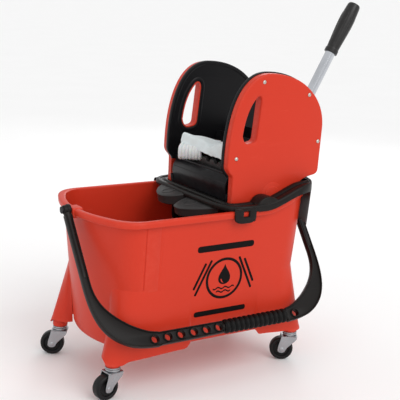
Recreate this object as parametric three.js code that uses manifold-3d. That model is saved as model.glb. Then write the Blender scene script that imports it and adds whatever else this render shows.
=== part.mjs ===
// A castored mop bucket with a lever wringer and a mop head laid over the wringer's mouth.
// Millimetres, +Z up. X runs along the bucket, with the wringer at the +X end, and Y runs across it.
// The design frame has its origin on the floor below the middle of the castors. At the end the
// whole object is moved so that its origin is the bottom centre of its box.
import * as THREE from 'three';
import { mergeVertices } from 'three/addons/utils/BufferGeometryUtils.js';
import { ConvexGeometry } from 'three/addons/geometries/ConvexGeometry.js';
import Module from 'manifold-3d';

const wasm = await Module();
wasm.setup();

// ---------------------------------------------------------------- driving dimensions

const GAP = 0.3;                       // clearance between pieces that touch

const CASTOR = {
  halfBase: 210.5, halfTrack: 120,     // stems, from the middle
  wheelRadius: 25, wheelWidth: 20, wheelSegments: 24,
  trail: 16, mountZ: 64,               // underside of the foot that the stem's flange meets
  stemRadius: 6, stemTop: 103, forkTopZ: 55, legGauge: 2,
  stemHead: 4.5, flangeRadius: 15, flangeThickness: 3,
  forkFront: -16, forkBack: 17,        // the fork's ends at its top, along the way it trails
  rivetRadius: 3, rivetHeadRadius: 5, rivetHead: 1.5, wheelClearance: 2, tyreChamfer: 3,
};

const FOOT = {
  frontInnerX: 62, rearInnerX: 92,     // x of the skirts' inner edges
  skirt: 7, belt: 12,                  // the skirt's lower edge and its widest level, above mountZ
  crownZ: 226, hollowCrownZ: 200,      // where the flare meets the tub's wall, and its hollow ends
  bossRadius: 18, bossCover: 5, ribThickness: 4, ribFromX: 170,
};

const BUCKET = {
  rimZ: 348, rearRise: 28, riseFrom: 100, riseTo: 205,
  bottomZ: 84, wall: 3.5,
  halfWidthTop: 146.5, halfWidthBottom: 131,
  cornerTop: 205, cornerBottom: 186,   // x of the sides' corners, before rounding
  frontTop: 238, frontBottom: 214,     // x of the bowed end at the middle, front (-X)
  rearTop: 253, rearBottom: 222,       // and rear (+X)
  cornerRun: 36, lip: 9, lipHeight: 13, lipRound: 3,
  rearLip: 2, rearLipFrom: 165, rearLipTo: 195,  // narrower where the wringer lifts past it
  stations: [142, 130, 117, 104, 30],  // x of the points along each straight side
  padHalfWidth: 15, padDrop: 16, padRise: 15, padFrom: 200,  // pads for the bail's pins
};

const BAIL = {
  pivotZ: 345, restAngle: 36.8,        // degrees from straight down, towards -Y
  frontX: -255.5, rearX: 276,          // middles of the two arms
  armRadius: 7.5, headRadius: 11, barThickness: 12,
  outerDrop: 293, innerDrop: 264, pinRadius: 4,
  gripFrom: 6, gripTo: 157, gripRadius: 14.5, gripCore: 8, ribs: 13,
  holeRadius: 7, firstHole: -149, holePitch: 28.6, holes: 6, loneHole: 181,
  armEnd: 156, crescentFrom: 150, strapFrom: 112, strapHalf: 12, ribDepth: 3,
  pinHeadRadius: 7, pinHead: 2.5, pinReach: 28,
};

const PANEL = {
  outerY: 124.4, shellInnerY: 109.6, linerOuterY: 109.3, linerInnerY: 101.3,
  skin: 3, linerPlate: 3.5, bead: 6,
  shellBottomZ: 353, linerBottomZ: 262,
  bossRadius: 17, bossRise: 1.5,
  tunnelWall: 3, linerProud: 2.5,      // the liner stands past the shell's outline
  tailBottomZ: 352, tailOpenZ: 366,    // the liner's thin lower part
  screws: [[103, 594], [216, 566], [246, 470], [46, 446]],  // (x, z)
  screwRadius: 2, screwBoss: 6, screwHead: 4, screwHeadTop: 2.8, screwHeadHeight: 2.3,
};

const COLLAR = {
  reach: 13.5, frontX: 2, innerFrontX: 37, innerRearX: 232, top: 15.5, skirt: 3,
  stations: [166, 148, 133, 118, 104, 77],
  frontDepth: 41, frontRun: 30, frontBow: 7, innerRun: 8, innerFrontRun: 3,
  innerLip: 6, wallBlend: 0.11, restBlend: 0.4, restRise: 2.5,
  strapBottomZ: 300, strapInset: 7, strapFromX: 215, strapFromY: 55,
  tabGap: 0.6, tabThickness: 5, humpInnerY: 127, humpOuterY: 151,
};

const TROUGH = {
  wall: 4, slotAt: [-72, -24, 24, 72], slotHalf: 7, slotFromX: 74, slotToX: 166,
};

const TRAY = {
  fromX: 6, toX: 32, halfWidth: 88, plateBottomZ: 328, plateTopZ: 332,
  lobeTipX: -44, lobeBottomZ: 326, lobeLowZ: 331, lobeHighZ: 340, lobeTopZ: 344,
};

const LEVER = {
  pivotX: 137, pivotZ: 368, y: -87.5, lean: 29.3,   // degrees behind the vertical, at rest
  tubeRadius: 10.5, tubeFrom: 40, tubeTo: 424,
  gripFrom: 318, gripTo: 432, gripRadius: 15.5,
  shaftRadius: 7, hubRadius: 17, socketRadius: 13.5, socketTo: 84,
  hubHalf: 10.5, socketFrom: 15, tubeWall: 1.5, shaftEndY: -119,
};

const GEARS = {
  nearY: -73.5, farY: -62.5, leverTeeth: 20, pressTeeth: 35, module: 2.4,
  addendum: 0.75, dedendum: 1.15,      // in modules
  tipHalf: 0.1, rootHalf: 0.31,        // in pitches
  leverHub: 13, pressHub: 12,
};

const BUSH = { wall: 3, flange: 5.5, flangeThickness: 2.2 };

const PRESS = {
  lean: 14, height: 94, thickness: 7, shaftRadius: 6.5,  // lean in degrees ahead of the vertical
  angle: 30,                           // of the line from the lever's shaft down to its own
  nearY: -55, farY: 95, sleeve: 3.5, shaftHalf: 104.5,
  notches: 5, notchPitch: 30, notchHalf: 5, notchDepth: 7,
  ribsAt: [-40, 20, 80], ribHalf: 2, ribRise: 4, ribFrom: 12,
};

const BACK_PLATE = {
  foot: [108, 272], head: [152, 462], thickness: 5,  // (x, z)
  holeRows: [0.48, 0.68, 0.88], holeColumns: [-30, 5, 40, 75], holeRadius: 6,
};

const GUARD = { nearY: -60.5, farY: -57.5, shaftHole: 7.2 };

const MOP = {
  fromX: 22, toX: 134, halfWidth: 70, bottomZ: 434.5, splitZ: 455, topZ: 466,
  foldToX: 50, foldFromY: 18, foldBottomZ: 413,      // the bundle that hangs over the front
  bandFromX: 38, bandToX: 112, bandFromY: -62, bandToY: 56, bandCorner: 12,
};

// ---------------------------------------------------------------- colours

const paint = (color, roughness, metalness = 0) =>
  new THREE.MeshStandardMaterial({ color, roughness, metalness });
const RED = paint(0xd2402c, 0.42);
const BLACK = paint(0x2b2727, 0.5);
const LINER = paint(0x15161a, 0.4);
const GRIP = paint(0x121212, 0.7);
const GREY = paint(0x55565a, 0.55);
const TYRE = paint(0x161616, 0.65);
const ZINC = paint(0xb9bcc0, 0.35, 0.9);
const CHROME = paint(0xd8dadd, 0.15, 1);
const GEAR = paint(0x6a6c70, 0.45, 0.6);
const COTTON = paint(0xe9ebe8, 0.95);
const CANVAS = paint(0xdfe2df, 0.9);

// ---------------------------------------------------------------- solids

// A manifold solid from a closed three.js geometry.
function solid(geometry) {
  const bare = new THREE.BufferGeometry();
  bare.setAttribute('position', geometry.getAttribute('position').clone());
  if (geometry.index) bare.setIndex(geometry.index.clone());
  const merged = mergeVertices(bare, 1e-3);
  const index = Array.from(merged.index.array);
  const faces = [];
  for (let i = 0; i < index.length; i += 3) {
    const [a, b, c] = index.slice(i, i + 3);
    if (a !== b && b !== c && c !== a) faces.push(a, b, c);
  }
  const wasmMesh = new wasm.Mesh({
    numProp: 3,
    vertProperties: Float32Array.from(merged.getAttribute('position').array),
    triVerts: Uint32Array.from(faces),
  });
  return new wasm.Manifold(wasmMesh);
}

function geometryOf(manifold) {
  const result = manifold.getMesh();
  const geometry = new THREE.BufferGeometry();
  geometry.setAttribute('position', new THREE.BufferAttribute(result.vertProperties, 3));
  geometry.setIndex(new THREE.BufferAttribute(result.triVerts, 1));
  return geometry;
}

const union = (...parts) => parts.reduce((whole, part) => whole.add(part));
const cut = (part, ...tools) => tools.reduce((left, tool) => left.subtract(tool), part);

// Axes of an extrusion: the outline's two directions, then the direction it is extruded in.
const ALONG_X = new THREE.Matrix4().makeBasis(
  new THREE.Vector3(0, 1, 0), new THREE.Vector3(0, 0, 1), new THREE.Vector3(1, 0, 0));
const ALONG_Y = new THREE.Matrix4().makeBasis(
  new THREE.Vector3(1, 0, 0), new THREE.Vector3(0, 0, 1), new THREE.Vector3(0, -1, 0));
const ALONG_Z = new THREE.Matrix4();

// Extrudes a closed outline between two planes. Along Y the outline is (x, z), along X (y, z).
function extrude(outline, axes, from, to) {
  const depth = Math.abs(to - from);
  const geometry = new THREE.ExtrudeGeometry(new THREE.Shape(outline), {
    depth, bevelEnabled: false, steps: 1,
  });
  geometry.applyMatrix4(axes);
  const start = axes === ALONG_Y ? Math.max(from, to) : Math.min(from, to);
  if (axes === ALONG_X) geometry.translate(start, 0, 0);
  if (axes === ALONG_Y) geometry.translate(0, start, 0);
  if (axes === ALONG_Z) geometry.translate(0, 0, start);
  return solid(geometry);
}

function box(x0, x1, y0, y1, z0, z1) {
  const geometry = new THREE.BoxGeometry(x1 - x0, y1 - y0, z1 - z0);
  geometry.translate((x0 + x1) / 2, (y0 + y1) / 2, (z0 + z1) / 2);
  return solid(geometry);
}

// A cylinder or cone between two points.
function rod(from, to, radius, segments = 20, endRadius = radius) {
  const start = new THREE.Vector3(...from);
  const span = new THREE.Vector3(...to).sub(start);
  const geometry = new THREE.CylinderGeometry(endRadius, radius, span.length(), segments);
  geometry.translate(0, span.length() / 2, 0);
  geometry.applyQuaternion(new THREE.Quaternion().setFromUnitVectors(
    new THREE.Vector3(0, 1, 0), span.normalize()));
  geometry.translate(start.x, start.y, start.z);
  return solid(geometry);
}

// A turned piece about the line from a point in a direction; the profile is [radius, distance].
function turned(profile, from, direction, segments) {
  const geometry = new THREE.LatheGeometry(
    profile.map(([radius, distance]) => new THREE.Vector2(radius, distance)), segments);
  geometry.applyQuaternion(new THREE.Quaternion().setFromUnitVectors(
    new THREE.Vector3(0, 1, 0), new THREE.Vector3(...direction).normalize()));
  geometry.translate(...from);
  return solid(geometry);
}

// A polygon whose corners [x, y, radius] are rounded.
function rounded(corners, divisions = 3) {
  const points = [];
  const count = corners.length;
  corners.forEach(([x, y, radius = 0], i) => {
    const corner = new THREE.Vector2(x, y);
    const before = new THREE.Vector2(...corners[(i + count - 1) % count].slice(0, 2));
    const after = new THREE.Vector2(...corners[(i + 1) % count].slice(0, 2));
    if (!radius) {
      points.push(corner);
      return;
    }
    const start = before.sub(corner).setLength(radius).add(corner);
    const end = after.sub(corner).setLength(radius).add(corner);
    points.push(...new THREE.QuadraticBezierCurve(start, corner, end).getPoints(divisions));
  });
  return points;
}

// An outline moved by a distance along its own normals: positive grows a counter-clockwise one.
function offset(outline, distance) {
  const count = outline.length;
  return outline.map((point, i) => {
    const before = point.clone().sub(outline[(i + count - 1) % count]).normalize();
    const after = outline[(i + 1) % count].clone().sub(point).normalize();
    const normal = new THREE.Vector2(before.y + after.y, -before.x - after.x).normalize();
    const stretch = Math.max(normal.dot(new THREE.Vector2(before.y, -before.x)), 0.5);
    return point.clone().addScaledVector(normal, distance / stretch);
  });
}

const counterClockwise = (outline) =>
  (THREE.ShapeUtils.area(outline) < 0 ? [...outline].reverse() : outline);

// Skins closed rings of points, all with the same count, into one solid. The rings run
// counter-clockwise about the direction in which they follow each other. A hoop's last ring joins
// its first; otherwise the two ends are capped.
function skin(rings, hoop = false) {
  const count = rings[0].length;
  const vertices = rings.flat();
  const faces = [];
  const last = hoop ? rings.length : rings.length - 1;
  for (let j = 0; j < last; j += 1) {
    const next = (j + 1) % rings.length;
    for (let i = 0; i < count; i += 1) {
      const k = (i + 1) % count;
      faces.push(j * count + i, j * count + k, next * count + k);
      faces.push(j * count + i, next * count + k, next * count + i);
    }
  }
  if (!hoop) {
    const cap = (ring, start, flip) => {
      const flat = rings[ring].map((p) => new THREE.Vector2(p.x, p.y));
      for (const [a, b, c] of THREE.ShapeUtils.triangulateShape(flat, [])) {
        faces.push(...(flip ? [start + a, start + c, start + b] : [start + a, start + b, start + c]));
      }
    };
    cap(0, 0, true);
    cap(rings.length - 1, (rings.length - 1) * count, false);
  }
  const geometry = new THREE.BufferGeometry().setFromPoints(vertices);
  geometry.setIndex(faces);
  return solid(geometry);
}

// ---------------------------------------------------------------- the exported group

const object = new THREE.Group();

function place(name, material, shape, parent = object) {
  const node = new THREE.Mesh(geometryOf(shape), material);
  node.name = name;
  parent.add(node);
  return node;
}

// ---------------------------------------------------------------- bucket

const smooth = (from, to, value) => {
  const t = Math.min(Math.max((value - from) / (to - from), 0), 1);
  return t * t * (3 - 2 * t);
};
const rimRise = (x) => BUCKET.rearRise * smooth(BUCKET.riseFrom, BUCKET.riseTo, x);
const between = (low, high, t) => low + (high - low) * t;

// Half a plan: a bowed end between two round corners that share its tangents. half is the plan's
// half width, corner the x where the sides would meet the end, end its furthest x.
function bowedEnd(half, corner, end, run) {
  const shoulder = half - run;
  const reach = 2 * run / shoulder;
  const meet = (corner + reach * end) / (1 + reach);
  const outline = new THREE.Path();
  outline.moveTo(corner - run, -half);
  outline.quadraticCurveTo(corner, -half, meet, -shoulder);
  outline.quadraticCurveTo(2 * end - meet, 0, meet, shoulder);
  outline.quadraticCurveTo(corner, half, corner - run, half);
  return outline.curves.flatMap((curve, i) => curve.getPoints(i === 1 ? 6 : 3).slice(i ? 1 : 0));
}

// The tub's plan at a height, grown by a distance: straight sides, round corners and bowed ends.
function tubPlan(height, grow = 0) {
  const t = (height - BUCKET.bottomZ) / (BUCKET.rimZ - BUCKET.bottomZ);
  const level = (bottom, top) => between(bottom, top, t) + grow;
  const half = level(BUCKET.halfWidthBottom, BUCKET.halfWidthTop);
  const corner = level(BUCKET.cornerBottom, BUCKET.cornerTop);
  const rear = bowedEnd(half, corner, level(BUCKET.rearBottom, BUCKET.rearTop), BUCKET.cornerRun);
  const front = bowedEnd(half, corner, level(BUCKET.frontBottom, BUCKET.frontTop), BUCKET.cornerRun);
  const stations = BUCKET.stations;
  return [
    ...rear,
    ...stations.map((x) => new THREE.Vector2(x, half)),
    ...front.map((p) => new THREE.Vector2(-p.x, -p.y)),
    ...[...stations].reverse().map((x) => new THREE.Vector2(x, -half)),
  ];
}

// A level of the tub: a plan whose height follows the rim's rise in proportion to how high it is.
function tubRing(height, grow) {
  const t = (height - BUCKET.bottomZ) / (BUCKET.rimZ - BUCKET.bottomZ);
  return tubPlan(height, grow).map(
    (p) => new THREE.Vector3(p.x, p.y, height + rimRise(p.x) * Math.max(t, 0) ** 2));
}

// A level of the lip, which is narrower at the rear.
function lipRing(height, grow) {
  const narrow = tubRing(height, Math.min(grow, BUCKET.rearLip));
  return tubRing(height, grow).map(
    (p, i) => p.lerp(narrow[i], smooth(BUCKET.rearLipFrom, BUCKET.rearLipTo, p.x)));
}

function makeBucket() {
  const { bottomZ, rimZ, wall, lip, lipHeight, lipRound } = BUCKET;
  const outside = skin([
    tubRing(bottomZ, 0),
    tubRing(rimZ - lipHeight, 0),
    lipRing(rimZ - lipHeight + 1, lip),
    lipRing(rimZ - lipRound, lip),
    lipRing(rimZ, lip - lipRound),
    tubRing(rimZ, -wall - 1),
  ]);
  const hollow = skin([
    tubRing(bottomZ + wall, -wall),
    tubRing(rimZ - lipHeight, -wall),
    tubRing(rimZ + 1, -wall),
    tubPlan(rimZ, -wall).map((p) => new THREE.Vector3(p.x, p.y, 2 * rimZ)),
  ]);
  const feet = [-1, 1].flatMap((sx) => [-1, 1].map((sy) => makeFoot(sx, sy)));
  const { pivotZ, armRadius, pinRadius, frontX, rearX } = BAIL;
  const { padHalfWidth: half, padDrop, padRise, padFrom } = BUCKET;
  const frontPad = box(frontX + armRadius + GAP, -padFrom, -half, half, pivotZ - padDrop, rimZ + 2);
  const rearPad = box(padFrom, rearX - armRadius - GAP, -half, half, pivotZ - padDrop, pivotZ + padRise);
  const pinBore = rod([-300, 0, pivotZ], [300, 0, pivotZ], pinRadius + GAP, 16);
  return cut(union(outside, ...feet, frontPad, rearPad), hollow, pinBore);
}

// One flared foot, hollow below, with a boss for the castor's stem. Its walls run into the tub's.
function makeFoot(sx, sy) {
  const { halfBase, halfTrack, mountZ, stemRadius, stemTop } = CASTOR;
  const { skirt, belt, crownZ, hollowCrownZ, bossRadius, bossCover, ribThickness, ribFromX } = FOOT;
  const inner = sx < 0 ? FOOT.frontInnerX : FOOT.rearInnerX;
  const footprint = (grow, z) => rounded([
    [inner - grow, 100, 0], [inner - grow, 138 + grow, 6], [216, 141 + grow, 14],
    [239 + grow, 122, 12], [226 + grow, 84 - grow, 12], [196, 84 - grow, 0],
  ], 1).map((p) => new THREE.Vector3(sx * p.x, sy * p.y, z));
  const crown = (grow, z) => [[150, 136], [186, 134], [203, 106]].map(
    ([x, y]) => new THREE.Vector3(sx * (x + grow), sy * (y + grow), z));
  const hull = (grow, bottom, top) => solid(new ConvexGeometry([
    ...footprint(grow, bottom), ...footprint(grow, mountZ + belt), ...crown(grow, top)]));
  const shell = cut(hull(0, mountZ + skirt, crownZ), hull(-BUCKET.wall, mountZ, hollowCrownZ));
  const x = sx * halfBase;
  const y = sy * halfTrack;
  const bossTop = stemTop + bossCover;
  const boss = rod([x, y, mountZ], [x, y, bossTop], bossRadius, 14);
  const ends = [x, sx * ribFromX];
  const rib = box(Math.min(...ends), Math.max(...ends), y - 2 - ribThickness, y - 2,
    mountZ + skirt + 1, bossTop);
  const bore = rod([x, y, mountZ - 1], [x, y, stemTop + GAP], stemRadius + GAP, 10);
  return cut(union(shell, boss, rib), bore);
}

// ---------------------------------------------------------------- castors

// A castor is drawn with its stem at the origin and its wheel trailing towards +X.
function makeCastor(name, x, y, heading) {
  const { wheelRadius, wheelWidth, wheelSegments, wheelClearance, trail, mountZ } = CASTOR;
  const { stemRadius, stemTop, stemHead, flangeRadius, flangeThickness } = CASTOR;
  const { forkTopZ, forkFront, forkBack, legGauge } = CASTOR;
  const { rivetRadius, rivetHeadRadius, rivetHead, tyreChamfer } = CASTOR;
  const castor = new THREE.Group();
  castor.position.set(x, y, 0);
  castor.rotation.z = THREE.MathUtils.degToRad(heading);
  object.add(castor);
  const axleZ = wheelRadius * Math.cos(Math.PI / wheelSegments);
  const legY = wheelWidth / 2 + wheelClearance;

  // The stem with its flange, and a small head under the fork's top plate.
  const flangeZ = mountZ - flangeThickness - GAP;
  const stem = union(
    rod([0, 0, forkTopZ - stemHead], [0, 0, stemTop], stemRadius, 10),
    rod([0, 0, flangeZ], [0, 0, mountZ - GAP], flangeRadius, 14));
  place(`castor_stem_${name}`, ZINC, stem, castor);

  // A pressed fork: a raceway cup, a top plate and two tapering legs.
  const leg = rounded([
    [forkFront, forkTopZ], [forkFront, forkTopZ - 7], [trail - 7, axleZ + 1],
    [trail - 6, axleZ - 7, 4], [trail + 6, axleZ - 7, 4], [trail + 7, axleZ + 2],
    [forkBack + 1, forkTopZ - 4], [forkBack, forkTopZ],
  ], 1);
  const legAt = (side) => extrude(leg, ALONG_Y, side * legY, side * (legY + legGauge));
  const plateHalf = legY + legGauge;
  const plate = box(forkFront, forkBack, -plateHalf, plateHalf, forkTopZ - legGauge, forkTopZ);
  const cup = rod([0, 0, forkTopZ - 1], [0, 0, flangeZ - GAP], flangeRadius - 2, 12, flangeRadius);
  const stemHole = rod([0, 0, forkTopZ - 3], [0, 0, mountZ], stemRadius + GAP + 0.2, 10);
  const axleHole = rod([trail, -20, axleZ], [trail, 20, axleZ], rivetRadius + GAP, 10);
  const fork = cut(union(plate, legAt(-1), legAt(1), cup), stemHole, axleHole);
  place(`castor_fork_${name}`, ZINC, fork, castor);

  // A riveted axle, and the wheel with a flat facet at its lowest point.
  const axleEnd = plateHalf + rivetHead;
  const headFrom = plateHalf + GAP;
  const axle = union(
    rod([trail, -axleEnd, axleZ], [trail, axleEnd, axleZ], rivetRadius, 10),
    rod([trail, -axleEnd, axleZ], [trail, -headFrom, axleZ], rivetHeadRadius, 10),
    rod([trail, headFrom, axleZ], [trail, axleEnd, axleZ], rivetHeadRadius, 10));
  place(`castor_axle_${name}`, ZINC, axle, castor);

  const bore = rivetRadius + GAP;
  const side = wheelWidth / 2;
  const wheel = turned([
    [bore, -side], [wheelRadius - tyreChamfer, -side],
    [wheelRadius, -side + tyreChamfer], [wheelRadius, side - tyreChamfer],
    [wheelRadius - tyreChamfer, side], [bore, side], [bore, -side],
  ], [0, 0, 0], [0, 1, 0], wheelSegments);
  const wheelNode = place(`castor_wheel_${name}`, TYRE, wheel, castor);
  wheelNode.position.set(trail, 0, axleZ);
  wheelNode.rotation.y = Math.PI / wheelSegments;
}

// ---------------------------------------------------------------- bail handle

// The bail hangs straight down from the origin here, and its group leans it onto the bucket's side.
function makeBail() {
  const { frontX, rearX, armRadius, armEnd, headRadius, barThickness, outerDrop, innerDrop } = BAIL;
  const { crescentFrom, strapFrom, strapHalf, gripFrom, gripTo, gripCore, gripRadius, ribDepth } = BAIL;
  const bail = new THREE.Group();
  bail.position.set(0, 0, BAIL.pivotZ);
  bail.rotation.x = -THREE.MathUtils.degToRad(BAIL.restAngle);
  object.add(bail);

  // The flat bar: two crescent corners joined by the crossbar, with a round stretch for the grip.
  const cornerOf = (armX, side) => {
    const inner = armX + side * armRadius;
    const outer = armX - side * armRadius;
    const curve = new THREE.Path();
    curve.moveTo(outer, -crescentFrom);
    curve.bezierCurveTo(outer, -215, outer + side * 10, -262, outer + side * 68, -outerDrop + 8);
    curve.quadraticCurveTo(outer + side * 92, -outerDrop + 1, outer + side * 122, -outerDrop);
    curve.lineTo(outer + side * 122, -innerDrop);
    curve.quadraticCurveTo(inner + side * 86, -innerDrop + 2, inner + side * 55, -innerDrop + 22);
    curve.bezierCurveTo(inner + side * 16, -214, inner, -190, inner, -crescentFrom);
    return curve.getPoints(5);
  };
  const half = barThickness / 2;
  const front = extrude(cornerOf(frontX, 1), ALONG_Y, -half, half);
  const rear = extrude(cornerOf(rearX, -1), ALONG_Y, -half, half);
  const middle = -(outerDrop + innerDrop) / 2;
  const strap = (from, to) => box(from, to, -half, half, middle - strapHalf, middle + strapHalf);
  const arm = (x) => rod([x, 0, -armEnd], [x, 0, 0], armRadius, 14);
  const head = (x) => rod([x - armRadius, 0, 0], [x + armRadius, 0, 0], headRadius, 18);
  const hole = (x) => rod([x, -20, middle], [x, 20, middle], BAIL.holeRadius, 12);
  const holes = Array.from({ length: BAIL.holes }, (_, i) => hole(BAIL.firstHole + i * BAIL.holePitch));
  const pinHole = rod([-300, 0, 0], [300, 0, 0], BAIL.pinRadius + GAP, 16);
  const shape = cut(
    union(front, rear, arm(frontX), arm(rearX), head(frontX), head(rearX),
      strap(frontX + strapFrom, gripFrom), strap(gripTo, rearX - strapFrom),
      rod([gripFrom - 4, 0, middle], [gripTo + 4, 0, middle], gripCore, 14)),
    ...holes, hole(BAIL.loneHole), pinHole);
  place('bail_handle', BLACK, shape, bail);

  // The ribbed sleeve on the round stretch.
  const profile = [[gripCore + GAP, gripFrom + GAP]];
  const pitch = (gripTo - gripFrom - 2 * GAP) / BAIL.ribs;
  for (let i = 0; i < BAIL.ribs; i += 1) {
    const start = gripFrom + GAP + i * pitch;
    profile.push([gripRadius - ribDepth, start], [gripRadius, start + pitch / 2]);
  }
  profile.push([gripRadius - ribDepth, gripTo - GAP], [gripCore + GAP, gripTo - GAP], profile[0]);
  place('bail_grip', GRIP, turned(profile, [0, 0, middle], [1, 0, 0], 12), bail);
}

// A pin with a head outside the bail's arm, held in the bucket's end.
function makeBailPin(name, armX, inward) {
  const { armRadius, pinRadius, pinHeadRadius, pinHead, pinReach, pivotZ } = BAIL;
  const face = armX - inward * (armRadius + GAP);
  const end = face - inward * pinHead;
  place(name, ZINC, union(
    rod([end, 0, pivotZ], [armX + inward * pinReach, 0, pivotZ], pinRadius, 16),
    rod([end, 0, pivotZ], [face, 0, pivotZ], pinHeadRadius, 16)));
}

place('bucket', RED, makeBucket());
makeCastor('front_near', -CASTOR.halfBase, -CASTOR.halfTrack, 187);
makeCastor('front_far', -CASTOR.halfBase, CASTOR.halfTrack, 147);
makeCastor('rear_near', CASTOR.halfBase, -CASTOR.halfTrack, 147);
makeCastor('rear_far', CASTOR.halfBase, CASTOR.halfTrack, 165);
makeBail();
makeBailPin('bail_pin_front', BAIL.frontX, 1);
makeBailPin('bail_pin_rear', BAIL.rearX, -1);

// ---------------------------------------------------------------- wringer: side panels

// The panels' outline (x, z) down to a height: a leaning D over a narrower lower part.
function panelOutline(bottomZ, grow = 0, divisions = 8) {
  const outline = new THREE.Path();
  outline.moveTo(40, bottomZ);
  outline.lineTo(40, 406);
  outline.quadraticCurveTo(40, 410, 36, 414);
  outline.quadraticCurveTo(28, 421, 27, 430);
  outline.bezierCurveTo(27, 540, 60, 610, 118, 610);
  outline.bezierCurveTo(200, 610, 257, 560, 257, 500);
  outline.lineTo(253, 412);
  outline.quadraticCurveTo(252, 402, 242, 400);
  outline.quadraticCurveTo(206, 395, 204, 380);
  outline.lineTo(203, bottomZ);
  const points = outline.curves.flatMap((curve) => {
    if (curve.isLineCurve) return [curve.v2];
    return curve.getPoints(curve.isCubicBezierCurve ? divisions : 2).slice(1);
  });
  return offset(counterClockwise([new THREE.Vector2(40, bottomZ), ...points]), grow);
}

// The hand slot near the panels' front edge: straight behind and curved in front.
function slotOutline(grow = 0) {
  const slot = new THREE.Path();
  slot.moveTo(93, 484);
  slot.lineTo(100, 556);
  slot.quadraticCurveTo(99, 570, 90, 564);
  slot.quadraticCurveTo(66, 540, 60, 490);
  slot.quadraticCurveTo(64, 470, 80, 475);
  slot.quadraticCurveTo(92, 476, 93, 484);
  const points = slot.curves.flatMap((curve) =>
    (curve.isLineCurve ? [curve.v2] : curve.getPoints(3).slice(1)));
  return offset(counterClockwise(points), grow);
}

// A red shell: an outer skin with a rim and a tunnel through for the slot, open on its inner side.
// side is -1 for the near panel and +1 for the far one.
function makeShell(name, side) {
  const { outerY, shellInnerY, shellBottomZ, tunnelWall, bossRadius, bossRise } = PANEL;
  const { screws, screwRadius, screwBoss } = PANEL;
  const across = (x, z, radius, segments) => rod([x, side * 90, z], [x, side * 140, z], radius, segments);
  const outer = extrude(panelOutline(shellBottomZ), ALONG_Y, side * shellInnerY, side * outerY);
  const hollow = extrude(panelOutline(shellBottomZ - 20, -PANEL.skin), ALONG_Y,
    side * (shellInnerY - 1), side * (outerY - PANEL.skin));
  const tunnel = extrude(slotOutline(tunnelWall), ALONG_Y,
    side * (PANEL.linerInnerY + 1), side * outerY);
  const slot = extrude(slotOutline(), ALONG_Y, side * 90, side * 140);
  let shape = union(cut(outer, hollow), tunnel);
  // Screw bosses, and a round boss over the lever's shaft.
  for (const [x, z] of screws) {
    const boss = rod([x, side * shellInnerY, z], [x, side * (outerY - 1), z], screwBoss, 10);
    shape = cut(union(shape, boss), across(x, z, screwRadius + GAP, 8));
  }
  const { pivotX, pivotZ, shaftRadius } = LEVER;
  shape = union(shape, rod([pivotX, side * shellInnerY, pivotZ],
    [pivotX, side * (outerY + bossRise), pivotZ], bossRadius, 20));
  if (side < 0) {
    shape = cut(shape, rod([pivotX, -100, pivotZ], [pivotX, -120, pivotZ], shaftRadius + GAP, 14));
  }
  place(name, RED, cut(shape, slot));
}

// A black liner: a thin plate with a bead round its front and top, carried down as the trough's cheek.
function makeLiner(name, side) {
  const { linerInnerY, linerOuterY, linerPlate, linerProud, linerBottomZ, tunnelWall } = PANEL;
  const { tailBottomZ, tailOpenZ, screws, screwRadius, screwBoss } = PANEL;
  const plateY = linerInnerY + linerPlate;
  const across = (x, z, radius, segments) => rod([x, side * 90, z], [x, side * 140, z], radius, segments);
  const cheek = extrude(rounded([
    [44, linerBottomZ, 26], [196, linerBottomZ, 26], [206, 386], [222, 396], [226, 420], [44, 420],
  ]), ALONG_Y, side * linerInnerY, side * plateY);
  const plate = extrude(panelOutline(tailBottomZ, linerProud, 10), ALONG_Y,
    side * linerInnerY, side * linerOuterY);
  const recess = extrude(panelOutline(tailBottomZ - 12, -PANEL.bead, 10), ALONG_Y,
    side * plateY, side * (linerOuterY + 1));
  const slot = extrude(slotOutline(tunnelWall + GAP), ALONG_Y, side * 90, side * 140);
  const depths = [side * plateY, side * (linerOuterY + 1)];
  const below = box(-10, 300, Math.min(...depths), Math.max(...depths), 300, tailOpenZ);
  let shape = cut(union(plate, cheek), recess, slot, below);
  for (const [x, z] of screws) {
    const boss = rod([x, side * (linerInnerY + 1), z], [x, side * linerOuterY, z], screwBoss, 10);
    const bore = rod([x, side * (linerInnerY + 3), z], [x, side * 140, z], screwRadius + GAP, 8);
    shape = cut(union(shape, boss), bore);
  }
  const bores = [[PRESS_PIVOT.x, PRESS_PIVOT.y, PRESS.shaftRadius]];
  if (side < 0) bores.push([LEVER.pivotX, LEVER.pivotZ, LEVER.shaftRadius]);
  for (const [x, z, radius] of bores) {
    shape = cut(shape, across(x, z, radius + BUSH.wall + GAP, 16));
  }
  place(name, LINER, shape);
}

// A screw through a panel's shell into its liner.
function makeScrew(name, side, x, z) {
  const { outerY, linerInnerY, screwRadius, screwHead, screwHeadTop, screwHeadHeight } = PANEL;
  const shank = rod([x, side * (linerInnerY + 4), z], [x, side * (outerY + 1), z], screwRadius, 8);
  const head = rod([x, side * (outerY + GAP), z], [x, side * (outerY + screwHeadHeight), z],
    screwHead, 10, screwHeadTop);
  place(name, ZINC, union(shank, head));
}

// Where the press plate's shaft lies, as (x, z).
const gearDistance = (GEARS.leverTeeth + GEARS.pressTeeth) * GEARS.module / 2;
const pressAngle = THREE.MathUtils.degToRad(PRESS.angle);
const PRESS_PIVOT = new THREE.Vector2(
  LEVER.pivotX - gearDistance * Math.cos(pressAngle),
  LEVER.pivotZ - gearDistance * Math.sin(pressAngle));

for (const [word, side] of [['near', -1], ['far', 1]]) {
  makeShell(`side_shell_${word}`, side);
  makeLiner(`side_liner_${word}`, side);
  PANEL.screws.forEach(([x, z], i) => makeScrew(`panel_screw_${word}_${i + 1}`, side, x, z));
}

// ---------------------------------------------------------------- wringer: collar, trough and tray

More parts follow.
